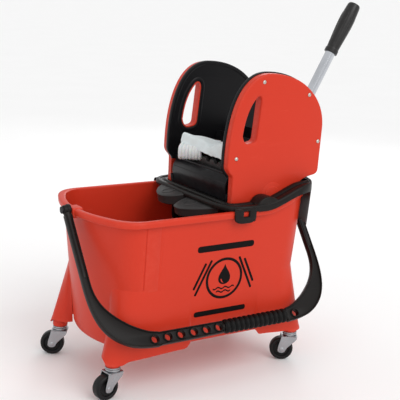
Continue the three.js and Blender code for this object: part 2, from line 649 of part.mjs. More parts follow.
// The collar's plan between its outer edge (0) and its opening (1).
function collarPlan(blend) {
  const { reach, frontX, innerFrontX, innerRearX, stations } = COLLAR;
  const { frontDepth, frontRun, frontBow, innerRun, innerFrontRun } = COLLAR;
  const middle = 2 * frontX + frontDepth;   // the front half is turned round about half of this x
  const edge = (half, rear, front) => [
    ...bowedEnd(half, ...rear),
    ...stations.map((x) => new THREE.Vector2(x, half)),
    ...bowedEnd(half, ...front).map((p) => new THREE.Vector2(middle - p.x, -p.y)),
    ...[...stations].reverse().map((x) => new THREE.Vector2(x, -half)),
  ];
  const outer = edge(BUCKET.halfWidthTop + reach,
    [BUCKET.cornerTop + reach, BUCKET.rearTop + reach, BUCKET.cornerRun],
    [middle - frontX - frontBow, middle - frontX, frontRun]);
  const inner = edge(PANEL.outerY + GAP,
    [innerRearX - 2, innerRearX, innerRun],
    [middle - innerFrontX - 0.5, middle - innerFrontX, innerFrontRun]);
  return outer.map((p, i) => p.clone().lerp(inner[i], blend));
}

// A strap that follows one rear corner of the bucket down.
function makeStrap(side) {
  const { wallBlend, strapFromX, strapFromY, strapBottomZ, strapInset } = COLLAR;
  const outer = collarPlan(0);
  const inner = collarPlan(wallBlend);
  const picked = outer.map((p, i) => i).filter(
    (i) => outer[i].x > strapFromX && outer[i].y * side > strapFromY);
  const loop = [...picked.map((i) => outer[i]), ...picked.reverse().map((i) => inner[i])];
  const ring = (z, inset) => loop.map((p) => new THREE.Vector3(p.x - inset, p.y, z));
  return skin([ring(strapBottomZ, strapInset), ring(BUCKET.rimZ + BUCKET.rearRise, 0)]);
}

function makeCollar() {
  const { top, skirt, innerFrontX, innerLip, wallBlend, restBlend, restRise } = COLLAR;
  const { tabGap, tabThickness, humpInnerY, humpOuterY } = COLLAR;
  // It rests on the flat of the rim, clears the rise behind it, and hooks over the lip at the sides.
  const rest = (x) => GAP + restRise * smooth(90, 108, x);
  const hook = (x) => (x > innerFrontX + 10 ? -skirt : GAP);
  const level = (blend, lift) => collarPlan(blend).map(
    (p) => new THREE.Vector3(p.x, p.y, BUCKET.rimZ + rimRise(p.x) + lift(p.x)));
  let shape = skin([
    level(0, hook), level(0, () => top - 4), level(0.1, () => top), level(1, () => top),
    level(1, () => innerLip), level(restBlend, rest), level(wallBlend, rest),
    level(wallBlend, (x) => hook(x) - 0.1),
  ], true);
  for (const side of [-1, 1]) {
    // A clip tab with a square hole hangs over the rim, and a low hump stands on the ring.
    const face = side * (BUCKET.halfWidthTop + BUCKET.lip + tabGap);
    const tab = extrude(rounded([
      [27, 351], [27, 332, 3], [36, 325, 4], [68, 325, 4], [76, 332, 3], [76, 351]], 2),
    ALONG_Y, face, face + side * tabThickness);
    const window = extrude(rounded([[46, 338], [60, 338], [60, 351], [46, 351]]),
      ALONG_Y, face - side * 3, face + side * 9);
    const hump = extrude(rounded([[84, 358], [92, 374, 9], [122, 374, 12], [134, 358]]),
      ALONG_Y, side * humpInnerY, side * humpOuterY);
    const bossEnd = side * (PANEL.outerY + PANEL.bossRise + GAP);
    const boss = rod([LEVER.pivotX, side * 120, LEVER.pivotZ], [LEVER.pivotX, bossEnd, LEVER.pivotZ],
      PANEL.bossRadius + GAP, 20);
    shape = cut(union(shape, tab, hump, makeStrap(side)), window, boss);
  }
  return shape;
}

// The trough between the liners: a bulging front wall, a drained floor and a rear wall.
function makeTrough() {
  const inside = new THREE.Path();
  inside.moveTo(50, 409);
  inside.quadraticCurveTo(37, 398, 38, 380);
  inside.quadraticCurveTo(42, 364, 46, 300);
  inside.quadraticCurveTo(52, 268, 90, 266);
  inside.lineTo(150, 266);
  inside.quadraticCurveTo(190, 268, 197, 300);
  inside.lineTo(212, 470);
  const line = inside.curves.flatMap((curve, i) =>
    (curve.isLineCurve ? [curve.v2] : curve.getPoints(4).slice(i ? 1 : 0)));
  const { wall, slotAt, slotHalf, slotFromX, slotToX } = TROUGH;
  const outline = [...line, ...offsetLine(line, wall).reverse()];
  const half = PANEL.linerInnerY - GAP;
  const slots = slotAt.map((y) => box(slotFromX, slotToX, y - slotHalf, y + slotHalf, 250, 280));
  return cut(extrude(outline, ALONG_Y, -half, half), ...slots);
}

// An open line moved sideways by a distance, to its left.
function offsetLine(line, distance) {
  return line.map((point, i) => {
    const ahead = line[Math.min(i + 1, line.length - 1)];
    const behind = line[Math.max(i - 1, 0)];
    const along = ahead.clone().sub(behind).normalize();
    return point.clone().add(new THREE.Vector2(along.y, -along.x).multiplyScalar(-distance));
  });
}

// The tray under the collar's front edge: two lens-shaped lobes on a common plate.
function makeTray() {
  const { fromX, toX, halfWidth, plateBottomZ, plateTopZ } = TRAY;
  const { lobeTipX, lobeBottomZ, lobeLowZ, lobeHighZ, lobeTopZ } = TRAY;
  const plate = box(fromX, toX, -halfWidth, halfWidth, plateBottomZ, plateTopZ);
  const lobes = [-1, 1].map((side) => {
    const outline = new THREE.Path();
    outline.moveTo(14, side * 3);
    outline.quadraticCurveTo(-34, side * 8, lobeTipX, side * 40);
    outline.quadraticCurveTo(-34, side * 76, 14, side * 86);
    outline.lineTo(26, side * 70);
    outline.lineTo(26, side * 18);
    const points = outline.curves.flatMap((curve, i) =>
      (curve.isLineCurve ? [curve.v2] : curve.getPoints(5).slice(i ? 1 : 0)));
    const ring = (z, grow) => offset(counterClockwise(points), grow).map(
      (p) => new THREE.Vector3(p.x, p.y, z));
    return skin([ring(lobeBottomZ, -5), ring(lobeLowZ, 0), ring(lobeHighZ, 0), ring(lobeTopZ, -4)]);
  });
  return union(plate, ...lobes);
}

// ---------------------------------------------------------------- wringer: lever, gears and plates

const leverLean = THREE.MathUtils.degToRad(LEVER.lean);
const leverAt = (distance) => [
  LEVER.pivotX + distance * Math.sin(leverLean),
  LEVER.y,
  LEVER.pivotZ + distance * Math.cos(leverLean),
];

// A sector gear's outline about a centre: teeth between two angles, and a hub elsewhere. A tooth
// (or a gap, with phase a half) is centred on the meshing angle.
function gearSector(centre, teeth, meshing, from, to, phase, hub) {
  const { module, addendum, dedendum, tipHalf, rootHalf } = GEARS;
  const pitchRadius = teeth * module / 2 - GAP / 2;
  const pitch = 360 / teeth;
  const point = (radius, degrees) => {
    const angle = THREE.MathUtils.degToRad(degrees);
    return new THREE.Vector2(centre.x + radius * Math.cos(angle), centre.y + radius * Math.sin(angle));
  };
  const outline = [];
  const first = Math.ceil((from - meshing) / pitch - phase);
  const last = Math.floor((to - meshing) / pitch - phase);
  for (let i = first; i <= last; i += 1) {
    const middle = meshing + (i + phase) * pitch;
    const root = pitchRadius - dedendum * module;
    const tip = pitchRadius + addendum * module;
    outline.push(
      point(root, middle - pitch * rootHalf), point(tip, middle - pitch * tipHalf),
      point(tip, middle + pitch * tipHalf), point(root, middle + pitch * rootHalf));
  }
  for (let degrees = to + 20; degrees < from + 345; degrees += 30) outline.push(point(hub, degrees));
  return outline;
}

function makeGear(name, centre, { teeth, meshing, range, phase, hub, bore }) {
  const { nearY, farY } = GEARS;
  const gear = extrude(
    gearSector(centre, teeth, meshing, ...range, phase, hub), ALONG_Y, nearY, farY);
  const hole = rod([centre.x, nearY - 1, centre.y], [centre.x, farY + 1, centre.y], bore, 14);
  place(name, GEAR, cut(gear, hole));
}

function makeLever() {
  const { pivotX, pivotZ, y, shaftRadius, shaftEndY, hubRadius, hubHalf } = LEVER;
  const { socketRadius, socketFrom, socketTo } = LEVER;
  const { tubeRadius, tubeFrom, tubeTo, tubeWall, gripFrom, gripTo, gripRadius } = LEVER;
  const shaft = rod([pivotX, shaftEndY, pivotZ], [pivotX, GEARS.farY + 1, pivotZ], shaftRadius, 16);
  place('lever_shaft', ZINC, shaft);
  const socket = cut(
    union(rod([pivotX, y - hubHalf, pivotZ], [pivotX, y + hubHalf, pivotZ], hubRadius, 20),
      rod(leverAt(socketFrom), leverAt(socketTo), socketRadius, 16, socketRadius - 1)),
    rod([pivotX, y - 15, pivotZ], [pivotX, y + 15, pivotZ], shaftRadius + GAP, 16),
    rod(leverAt(tubeFrom - GAP), leverAt(socketTo + 5), tubeRadius + GAP, 16));
  place('lever_socket', GEAR, socket);
  place('lever_tube', CHROME, cut(
    rod(leverAt(tubeFrom), leverAt(tubeTo), tubeRadius, 16),
    rod(leverAt(tubeFrom - 1), leverAt(tubeTo + 1), tubeRadius - tubeWall, 16)));
  const direction = [Math.sin(leverLean), 0, Math.cos(leverLean)];
  const length = gripTo - gripFrom;
  const bore = tubeRadius + GAP;
  const boreEnd = tubeTo - gripFrom + GAP;
  const grip = turned([
    [bore, 0], [gripRadius - 1.5, 0], [gripRadius - 1, 5], [gripRadius - 3.5, 9], [gripRadius - 2, 50],
    [gripRadius, length - 8], [gripRadius - 4, length], [0, length], [0, boreEnd], [bore, boreEnd],
    [bore, 0],
  ], leverAt(gripFrom), direction, 16);
  place('lever_grip', GRIP, grip);
}

// A flanged bush in a liner, round a shaft.
function makeBush(name, side, x, z, shaftRadius) {
  const { linerInnerY, linerPlate } = PANEL;
  const across = (from, to, radius, segments) =>
    rod([x, side * from, z], [x, side * to, z], radius, segments);
  const face = linerInnerY - GAP;
  const body = across(linerInnerY - 2, linerInnerY + linerPlate, shaftRadius + BUSH.wall, 14);
  const flange = across(face - BUSH.flangeThickness, face, shaftRadius + BUSH.flange, 14);
  place(name, GRIP, cut(union(body, flange), across(90, 120, shaftRadius + GAP, 16)));
}

function makePress() {
  const { shaftRadius, shaftHalf, sleeve, thickness, height, lean, nearY, farY } = PRESS;
  const { notches, notchPitch, notchHalf, notchDepth, ribsAt, ribHalf, ribRise, ribFrom } = PRESS;
  const { x, y: z } = PRESS_PIVOT;
  place('press_shaft', ZINC, rod([x, -shaftHalf, z], [x, shaftHalf, z], shaftRadius, 14));
  const tilt = THREE.MathUtils.degToRad(lean);
  const up = new THREE.Vector2(-Math.sin(tilt), Math.cos(tilt));
  const across = new THREE.Vector2(up.y, -up.x);
  const at = (along, side) =>
    new THREE.Vector2(x, z).addScaledVector(up, along).addScaledVector(across, side);
  const half = thickness / 2;
  const blade = [at(0, -half), at(0, half), at(height, half), at(height, -half)];
  let plate = union(
    extrude(blade, ALONG_Y, nearY, farY),
    rod([x, nearY, z], [x, farY, z], shaftRadius + sleeve, 16));
  // A castellated top edge, and ribs down the face that presses.
  const low = height - notchDepth;
  const notch = [at(low, -9), at(low, 9), at(height + 5, 9), at(height + 5, -9)];
  for (let i = 0; i < notches; i += 1) {
    const y = nearY + (i + 0.5) * notchPitch;
    plate = cut(plate, extrude(notch, ALONG_Y, y - notchHalf, y + notchHalf));
  }
  const rise = half + ribRise;
  const rib = [at(ribFrom, 0), at(ribFrom, rise), at(height - ribFrom, rise), at(height - 8, 0)];
  for (const y of ribsAt) {
    plate = union(plate, extrude(rib, ALONG_Y, y - ribHalf, y + ribHalf));
  }
  place('press_plate', GREY, cut(plate, rod([x, -120, z], [x, 120, z], shaftRadius + GAP, 14)));
}

// The fixed plate that the mop is pressed against, with drain holes.
function makeBackPlate() {
  const { thickness, holeRows, holeColumns, holeRadius } = BACK_PLATE;
  const foot = new THREE.Vector2(...BACK_PLATE.foot);
  const head = new THREE.Vector2(...BACK_PLATE.head);
  const line = [foot, head];
  const outline = [...line, ...offsetLine(line, thickness).reverse()];
  const holes = holeRows.flatMap((t) => {
    const { x, y: z } = foot.clone().lerp(head, t);
    return holeColumns.map((y) => rod([x - 15, y, z], [x + 15, y, z], holeRadius, 6));
  });
  return cut(extrude(outline, ALONG_Y, PRESS.nearY, PRESS.farY + 3), ...holes);
}

// The guard between the gears and the chamber.
function makeGuard() {
  const outline = rounded([
    [86, 271], [150, 271], [166, 372, 10], [150, 402, 14], [112, 402, 14], [52, 340, 8], [56, 306],
  ]);
  const { x, y: z } = PRESS_PIVOT;
  const guard = extrude(outline, ALONG_Y, GUARD.nearY, GUARD.farY);
  return cut(guard, rod([x, -70, z], [x, -50, z], GUARD.shaftHole, 14));
}

place('wringer_collar', BLACK, makeCollar());
place('wringer_trough', LINER, makeTrough());
place('drain_tray', GREY, makeTray());
makeLever();
makeBush('lever_bush', -1, LEVER.pivotX, LEVER.pivotZ, LEVER.shaftRadius);
makePress();
makeBush('press_bush_near', -1, PRESS_PIVOT.x, PRESS_PIVOT.y, PRESS.shaftRadius);
makeBush('press_bush_far', 1, PRESS_PIVOT.x, PRESS_PIVOT.y, PRESS.shaftRadius);
makeGear('lever_gear', new THREE.Vector2(LEVER.pivotX, LEVER.pivotZ), {
  teeth: GEARS.leverTeeth, meshing: 180 + PRESS.angle, range: [135, 230], phase: 0,
  hub: GEARS.leverHub, bore: LEVER.shaftRadius + GAP,
});
makeGear('press_gear', PRESS_PIVOT, {
  teeth: GEARS.pressTeeth, meshing: PRESS.angle, range: [16, 78], phase: 0.5,
  hub: GEARS.pressHub, bore: PRESS.shaftRadius + GAP,
});
place('back_plate', LINER, makeBackPlate());
place('gear_guard', LINER, makeGuard());

// ---------------------------------------------------------------- mop head

function makeMop() {
  const { fromX, toX, halfWidth, bottomZ, splitZ, topZ, foldToX, foldFromY, foldBottomZ } = MOP;
  const { bandFromX, bandToX, bandFromY, bandToY, bandCorner } = MOP;
  const bundle = rounded([
    [fromX, -halfWidth, 14], [toX, -halfWidth, 20], [toX, halfWidth, 20], [fromX, halfWidth, 14]]);
  const fold = box(fromX + 2, foldToX, foldFromY, halfWidth, foldBottomZ, bottomZ + 2);
  place('mop_yarn', COTTON, union(extrude(bundle, ALONG_Z, bottomZ, splitZ), fold));
  const band = rounded([
    [bandFromX, bandFromY, bandCorner], [bandToX, bandFromY, bandCorner],
    [bandToX, bandToY, bandCorner], [bandFromX, bandToY, bandCorner]]);
  place('mop_band', CANVAS, extrude(band, ALONG_Z, splitZ + GAP, topZ));
}

makeMop();

// The origin is moved to the bottom centre of the whole object.
const bounds = new THREE.Box3().setFromObject(object, true);
object.position.set(-(bounds.min.x + bounds.max.x) / 2, -(bounds.min.y + bounds.max.y) / 2, 0);
export default object;
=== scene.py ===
import random
from math import comb, cos, dist, hypot, pi, radians, sin, tau

import bmesh
import bpy
from mathutils import Matrix, Vector
from mathutils.geometry import tessellate_polygon


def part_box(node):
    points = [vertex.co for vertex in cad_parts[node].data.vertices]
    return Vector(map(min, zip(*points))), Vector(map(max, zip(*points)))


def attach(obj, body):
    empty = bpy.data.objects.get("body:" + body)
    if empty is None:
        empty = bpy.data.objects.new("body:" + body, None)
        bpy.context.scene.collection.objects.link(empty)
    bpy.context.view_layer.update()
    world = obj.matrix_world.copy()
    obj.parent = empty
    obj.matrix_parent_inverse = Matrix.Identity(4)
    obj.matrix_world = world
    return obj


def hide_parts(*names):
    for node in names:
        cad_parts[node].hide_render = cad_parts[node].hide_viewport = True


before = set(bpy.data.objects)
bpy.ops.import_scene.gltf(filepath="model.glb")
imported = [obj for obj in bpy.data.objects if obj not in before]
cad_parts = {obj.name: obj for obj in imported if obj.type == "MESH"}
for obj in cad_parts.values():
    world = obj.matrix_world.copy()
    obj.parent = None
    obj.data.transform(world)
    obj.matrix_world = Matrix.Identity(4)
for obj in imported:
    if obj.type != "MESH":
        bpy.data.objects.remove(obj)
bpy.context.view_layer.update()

# ---- the design frame
# Shapes are given in millimetres in the CAD's design frame: origin on the floor below the middle of
# the castors. Two CAD nodes that are centred on known design points give its place in the row frame.


def middle(node):
    low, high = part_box(node)
    return (low + high) / 2


X, Y, Z = (1, 0, 0), (0, 1, 0), (0, 0, 1)
SHIFT = Vector((middle("lever_shaft").x - 0.137, middle("bail_pin_front").y, 0))


def at(x, y, z):
    return Vector((x, y, z)) / 1000 + SHIFT


# ---- mesh tools

def curve(points, count):
    """Points on a Bezier curve from the first to the last of its control points, both included."""
    degree = len(points) - 1
    out = []
    for i in range(count + 1):
        t = i / count
        weights = [comb(degree, k) * (1 - t) ** (degree - k) * t ** k for k in range(degree + 1)]
        out.append(tuple(sum(w * v for w, v in zip(weights, values)) for values in zip(*points)))
    return out


def through(points, count):
    """Points on a smooth curve through the given points, count to each span."""
    out = []
    for i in range(len(points) - 1):
        p0, p1, p2, p3 = (Vector(points[min(max(i + k, 0), len(points) - 1)]) for k in (-1, 0, 1, 2))
        for k in range(count):
            t = k / count
            out.append(tuple(0.5 * (2 * p1 + (p2 - p0) * t + (2 * p0 - 5 * p1 + 4 * p2 - p3) * t * t
                                    + (3 * p1 - p0 - 3 * p2 + p3) * t ** 3)))
    out.append(tuple(points[-1]))
    return out


def chain(*runs):
    """Joins runs of points, leaving out a point that repeats the last one."""
    out = []
    for run in runs:
        for p in run:
            if not out or dist(p, out[-1]) > 1e-4:
                out.append(tuple(p))
    if dist(out[0], out[-1]) < 1e-4:
        out.pop()
    return out


def trace(start, *steps):
    """An outline from start. A step gives its control points, if it is a curve, its end and its count."""
    runs = []
    for *points, count in steps:
        runs.append(curve((start, *points), count))
        start = points[-1]
    return chain(*runs)


def rounded(corners, divisions=6):
    """A polygon whose corners (x, y, radius) are rounded."""
    out = []
    for i, (x, y, radius) in enumerate(corners):
        if radius <= 0:
            out.append((x, y))
            continue
        corner = Vector((x, y))
        before = Vector(corners[i - 1][:2]) - corner
        after = Vector(corners[(i + 1) % len(corners)][:2]) - corner
        start = corner + before.normalized() * radius
        end = corner + after.normalized() * radius
        out += curve((tuple(start), (x, y), tuple(end)), divisions)
    return chain(out)


def round_box(x0, y0, x1, y1, radius, divisions=6):
    return rounded([(x0, y0, radius), (x1, y0, radius), (x1, y1, radius), (x0, y1, radius)], divisions)


def turns(count):
    """Angles spread evenly round a circle."""
    return [tau * i / count for i in range(count)]


def ellipse(a, b, wide, high, count):
    """Points round an ellipse about (a, b)."""
    return [(a + wide * cos(w), b + high * sin(w)) for w in turns(count)]


def turned_left(outline):
    """The outline, counter-clockwise."""
    area = sum(a[0] * b[1] - b[0] * a[1] for a, b in zip(outline, outline[1:] + outline[:1]))
    return list(outline) if area > 0 else list(reversed(outline))


def offset(outline, distance):
    """A counter-clockwise outline moved along its own normals; positive grows it."""
    out = []
    for i, p in enumerate(outline):
        before = (Vector(p) - Vector(outline[i - 1])).normalized()
        after = (Vector(outline[(i + 1) % len(outline)]) - Vector(p)).normalized()
        normal = Vector((before.y + after.y, -before.x - after.x))
        normal = normal.normalized() if normal.length > 1e-6 else Vector((before.y, -before.x))
        stretch = max(normal.dot(Vector((before.y, -before.x))), 0.6)
        out.append((p[0] + normal.x * distance / stretch, p[1] + normal.y * distance / stretch))
    return out


def normals(line):
    """The normal to the left of an open run at each of its points."""
    out = []
    for i in range(len(line)):
        before, after = Vector(line[max(i - 1, 0)][:2]), Vector(line[min(i + 1, len(line) - 1)][:2])
        along = (after - before).normalized()
        out.append(Vector((-along.y, along.x)))
    return out


def smooth(start, end, value):
    t = min(max((value - start) / (end - start), 0), 1)
    return t * t * (3 - 2 * t)


def along_x(a, b, d):
    return (d, a, b)


def along_y(a, b, d):
    return (a, d, b)


def along_z(a, b, d):
    return (a, b, d)


class Shape:
    """Closed surfaces in design millimetres, gathered for one piece."""

    def __init__(self, place=None):
        self.place = place or (lambda p: p)
        self.verts = []
        self.faces = []

    def add(self, points):
        start = len(self.verts)
        self.verts += [tuple(self.place(Vector(p))) for p in points]
        return start

    def loft(self, rings, hoop=False, caps=True, closed=True):
        """Skins rings of points. A hoop's last ring joins its first; other ends are capped."""
        count = len(rings[0])
        start = self.add([p for ring in rings for p in ring])
        spans = len(rings) if hoop else len(rings) - 1
        steps = count if closed else count - 1
        for j in range(spans):
            a, b = start + j * count, start + (j + 1) % len(rings) * count
            for i in range(steps):
                k = (i + 1) % count
                self.faces.append((a + i, a + k, b + k, b + i))
        if caps and not hoop and closed:
            for ring in (0, len(rings) - 1):
                base = start + ring * count
                self.cap([[base + i for i in range(count)]])

    def cap(self, loops):
        """Fills a loop of vertices; further loops are holes in it."""
        flat = [i for loop in loops for i in loop]
        for tri in tessellate_polygon([[Vector(self.verts[i]) for i in loop] for loop in loops]):
            self.faces.append(tuple(flat[i] for i in tri))

    def plate(self, outline, levels, axes, holes=(), side=1):
        """A plate with holes: levels are (distance along the axis, growth of the outline). Side -1
        mirrors the distances."""
        loops = [turned_left(loop) for loop in (outline, *holes)]
        ends = ([], [])
        for number, loop in enumerate(loops):
            sign = -1 if number else 1
            rings = [[axes(a, b, side * d) for a, b in offset(loop, sign * g)] for d, g in levels]
            start = len(self.verts)
            self.loft(rings, caps=False)
            count = len(loop)
            ends[0].append([start + i for i in range(count)])
            ends[1].append([start + (len(levels) - 1) * count + i for i in range(count)])
        self.cap(ends[0])
        self.cap(ends[1])

    def lathe(self, profile, origin, direction, segments, closed=False):
        """Turns (radius, distance) points about a line. A closed profile is a ring with a bore."""
        direction = Vector(direction).normalized()
        side = direction.orthogonal().normalized()
        other = direction.cross(side)
        origin = Vector(origin)
        rings = []
        for radius, distance in profile:
            centre = origin + direction * distance
            rings.append([centre + (side * cos(w) + other * sin(w)) * max(radius, 1e-3)
                          for w in turns(segments)])
        self.loft(rings, hoop=closed)

    def tube(self, path, radius, segments, closed=False):
        """A round bar along a path of points; radius is one number or one for each point."""
        points = [Vector(p) for p in path]
        radii = radius if isinstance(radius, (list, tuple)) else [radius] * len(points)
        rings = []
        normal = None
        for i, p in enumerate(points):
            ahead = points[(i + 1) % len(points)] if closed else points[min(i + 1, len(points) - 1)]
            behind = points[i - 1] if closed or i else p
            tangent = (ahead - behind).normalized()
            if normal is None:
                normal = tangent.orthogonal().normalized()
            normal = (normal - tangent * normal.dot(tangent)).normalized()
            other = tangent.cross(normal)
            rings.append([p + (normal * cos(w) + other * sin(w)) * radii[i]
                          for w in turns(segments)])
        self.loft(rings, hoop=closed)


def soften(profile, steps=3):
    """Rounds the corners (radius, distance, bend) of a turned profile."""
    out = []
    for i, corner in enumerate(profile):
        p = Vector(corner[:2])
        bend = corner[2] if len(corner) > 2 else 0
        if not bend or i in (0, len(profile) - 1):
            out.append(tuple(p))
            continue
        before = p + (Vector(profile[i - 1][:2]) - p).normalized() * bend
        after = p + (Vector(profile[i + 1][:2]) - p).normalized() * bend
        out += curve((tuple(before), tuple(p), tuple(after)), steps)
    return out


def mirrored(profile):
    """A turned profile and its mirror image, which share the profile's last point."""
    return profile + [(r, -d) for r, d in reversed(profile[:-1])]


def add_object(name, data):
    thing = bpy.data.objects.new(name, data)
    bpy.context.scene.collection.objects.link(thing)
    return thing


def build(name, shape, material, body, replaces, angle=32):
    """Makes one piece from a shape, riding on a CAD body."""
    mesh = bpy.data.meshes.new(name)
    mesh.from_pydata([at(*p) for p in shape.verts], [], shape.faces)
    work = bmesh.new()
    work.from_mesh(mesh)
    bmesh.ops.remove_doubles(work, verts=work.verts, dist=2e-6)
    bmesh.ops.dissolve_degenerate(work, edges=work.edges, dist=1e-7)
    bmesh.ops.recalc_face_normals(work, faces=work.faces)
    work.to_mesh(mesh)
    work.free()
    mesh.shade_smooth()
    mesh.set_sharp_from_angle(angle=radians(angle))
    mesh.materials.append(material)
    piece = add_object(name, mesh)
    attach(piece, body)
    if replaces:
        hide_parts(*replaces)
    return piece


# ---- materials

class Nodes:
    """A material's node tree, written as short calls."""

    def __init__(self, name):
        self.material = bpy.data.materials.new(name)
        self.material.use_nodes = True
        self.tree = self.material.node_tree
        self.shader = self.tree.nodes["Principled BSDF"]
        self.coords = self.tree.nodes.new("ShaderNodeTexCoord").outputs["Object"]

    def feed(self, node, inputs):
        """Sets a node's inputs, each to a number, a tuple or another node's output."""
        for key, value in inputs.items():
            socket = node.inputs[key]
            if isinstance(value, (int, float)):
                socket.default_value = value
            elif isinstance(value, tuple):
                socket.default_value = (*value, 1)[:len(socket.default_value)]
            else:
                self.tree.links.new(value, socket)

    def node(self, kind, inputs, output=0, **settings):
        """Adds a node and returns one of its outputs."""
        node = self.tree.nodes.new("ShaderNode" + kind)
        for key, value in settings.items():
            setattr(node, key, value)
        self.feed(node, inputs)
        return node.outputs[output]

    def noise(self, scale, detail=4, roughness=0.5, stretch=None, distortion=0):
        place = self.coords
        if stretch:
            place = self.node("Mapping", {"Vector": place, "Scale": stretch}, "Vector")
        return self.node("TexNoise", {"Vector": place, "Scale": scale, "Detail": detail,
                                      "Roughness": roughness, "Distortion": distortion}, "Fac")

    def wave(self, scale, axis, distortion):
        return self.node("TexWave", {"Vector": self.coords, "Scale": scale, "Distortion": distortion},
                         "Fac", bands_direction=axis)

    def span(self, value, low, high, to_low, to_high):
        return self.node("MapRange", {"Value": value, "From Min": low, "From Max": high,
                                      "To Min": to_low, "To Max": to_high}, "Result")

    def times(self, a, b):
        return self.node("Math", {0: a, 1: b}, operation="MULTIPLY")

    def plus(self, a, b):
        return self.node("Math", {0: a, 1: b}, operation="ADD")

    def mix(self, factor, a, b):
        return self.node("Mix", {0: factor, 6: a, 7: b}, 2, data_type="RGBA")

    def edges(self):
        """Where the surface turns outwards sharply, from 0 to 1."""
        return self.span(self.node("NewGeometry", {}, "Pointiness"), 0.52, 0.6, 0, 1)

    def bump(self, height, strength, distance):
        bump = self.node("Bump", {"Strength": strength, "Distance": distance, "Height": height}, "Normal")
        self.feed(self.shader, {"Normal": bump})

    def set(self, **values):
        names = {"color": "Base Color", "specular": "Specular IOR Level", "sheen": "Sheen Weight",
                 "subsurface": "Subsurface Weight"}
        self.feed(self.shader, {names.get(key, key.replace("_", " ").title()): value
                                for key, value in values.items()})
        return self.material


def moulded(name, base, worn, rough, grain=900, specular=0.22, scuff=0.25, bump=0.00012):
    """Moulded plastic: faint mottling, hairline scuffs, a fine grain and paler, worn edges."""
    n = Nodes(name)
    cloud = n.noise(5, 4, 0.55)
    fine = n.noise(grain, 2, 0.6)
    scratch = n.span(n.noise(26, 3, 0.7, (1, 14, 14), 0.6), 0.63, 0.7, 0, 1)
    dark = tuple(c * 0.95 for c in base)
    colour = n.mix(n.span(cloud, 0.3, 0.7, 0, 1), dark, base)
    wear = n.times(n.edges(), n.span(n.noise(60, 4, 0.7), 0.4, 0.65, 0.1, 1))
    colour = n.mix(n.times(wear, 0.3), colour, worn)
    colour = n.mix(n.times(scratch, scuff * 0.3), colour, worn)
    roughness = n.plus(n.span(cloud, 0.3, 0.7, rough - 0.04, rough + 0.05), n.times(scratch, 0.16))
    relief = n.plus(n.times(fine, 0.6), n.times(n.noise(150, 3), 0.8))
    n.bump(relief, 0.3, bump)
    return n.set(color=colour, roughness=roughness, specular=specular)


def plated(name, base, rough, stretch, brush=0.1, stain=(0.3, 0.29, 0.27), amount=0.25):
    """Plated steel: fine drawn lines, cloudy bloom and darker specks."""
    n = Nodes(name)
    lines = n.noise(420, 3, 0.6, stretch)
    cloud = n.noise(22, 5, 0.65)
    speck = n.span(n.noise(240, 3, 0.7), 0.63, 0.72, 0, 1)
    colour = n.mix(n.span(cloud, 0.35, 0.7, 0, 1), base, tuple(c * 0.82 for c in base))
    colour = n.mix(n.times(speck, amount), colour, stain)
    roughness = n.plus(n.span(lines, 0.3, 0.7, rough - brush / 2, rough + brush / 2),
                       n.span(cloud, 0.3, 0.7, -0.03, 0.06))
    n.bump(lines, 0.25, 0.00006)
    return n.set(color=colour, roughness=roughness, metallic=1.0)


RED = moulded("red_polypropylene", (0.60, 0.036, 0.014), (0.80, 0.16, 0.11), 0.4)
BLACK = moulded("black_moulding", (0.0080, 0.0065, 0.006), (0.08, 0.07, 0.065), 0.4, specular=0.16, scuff=0.4)
LINER = moulded("liner_moulding", (0.0045, 0.0042, 0.0052), (0.05, 0.05, 0.055), 0.4, specular=0.18,
                scuff=0.5)
GREY = moulded("grey_moulding", (0.032, 0.030, 0.030), (0.14, 0.14, 0.14), 0.46)
BUSH = moulded("bush_plastic", (0.010, 0.010, 0.010), (0.08, 0.08, 0.08), 0.4)
RUBBER = moulded("grip_rubber", (0.0035, 0.0032, 0.0032), (0.05, 0.05, 0.05), 0.5, grain=1400, specular=0.14)
HANDLE = moulded("handle_rubber", (0.011, 0.010, 0.010), (0.14, 0.14, 0.14), 0.34, grain=1400, specular=0.4,
                 scuff=0.9, bump=0.0003)
TYRE = moulded("castor_tyre", (0.007, 0.0065, 0.007), (0.07, 0.07, 0.065), 0.44, scuff=0.8)
ZINC = plated("zinc_steel", (0.50, 0.51, 0.53), 0.3, (1, 1, 9))
CASTOR_STEEL = plated("castor_steel", (0.42, 0.43, 0.45), 0.3, (8, 8, 1), 0.14)
SCREW_STEEL = plated("screw_steel", (0.62, 0.60, 0.55), 0.26, (1, 6, 1))
CHROME = plated("lever_chrome", (0.62, 0.64, 0.68), 0.12, (1, 1, 14), 0.06, amount=0.12)
PIN = plated("blackened_pin", (0.035, 0.035, 0.038), 0.5, (3, 3, 3), 0.2, (0.05, 0.04, 0.035), 0.4)
IRON = plated("gear_iron", (0.12, 0.125, 0.135), 0.5, (3, 3, 3), 0.2, (0.07, 0.05, 0.04), 0.5)


def cotton():
    """Plied cotton yarn: slanted plies, fuzz and painted shade that greys the hollows between the plies."""
    n = Nodes("mop_cotton")
    ply_relief_and_shade = n.noise(520, 3, 0.6, (1, 1.6, 2.4), 0.8)
    cloud = n.noise(34, 4, 0.6)
    # Painted shade: the yarn is greyed where the plies' relief is low, in the hollows between the plies.
    colour = n.mix(n.span(ply_relief_and_shade, 0.35, 0.65, 0, 1), (0.62, 0.64, 0.64), (0.88, 0.90, 0.90))
    colour = n.mix(n.span(cloud, 0.55, 0.75, 0, 0.35), colour, (0.62, 0.62, 0.58))
    n.bump(ply_relief_and_shade, 0.9, 0.0011)
    return n.set(color=colour, roughness=0.93, sheen=0.35, sheen_roughness=0.5, specular=0.2,
                 subsurface=0.15, subsurface_scale=0.003)


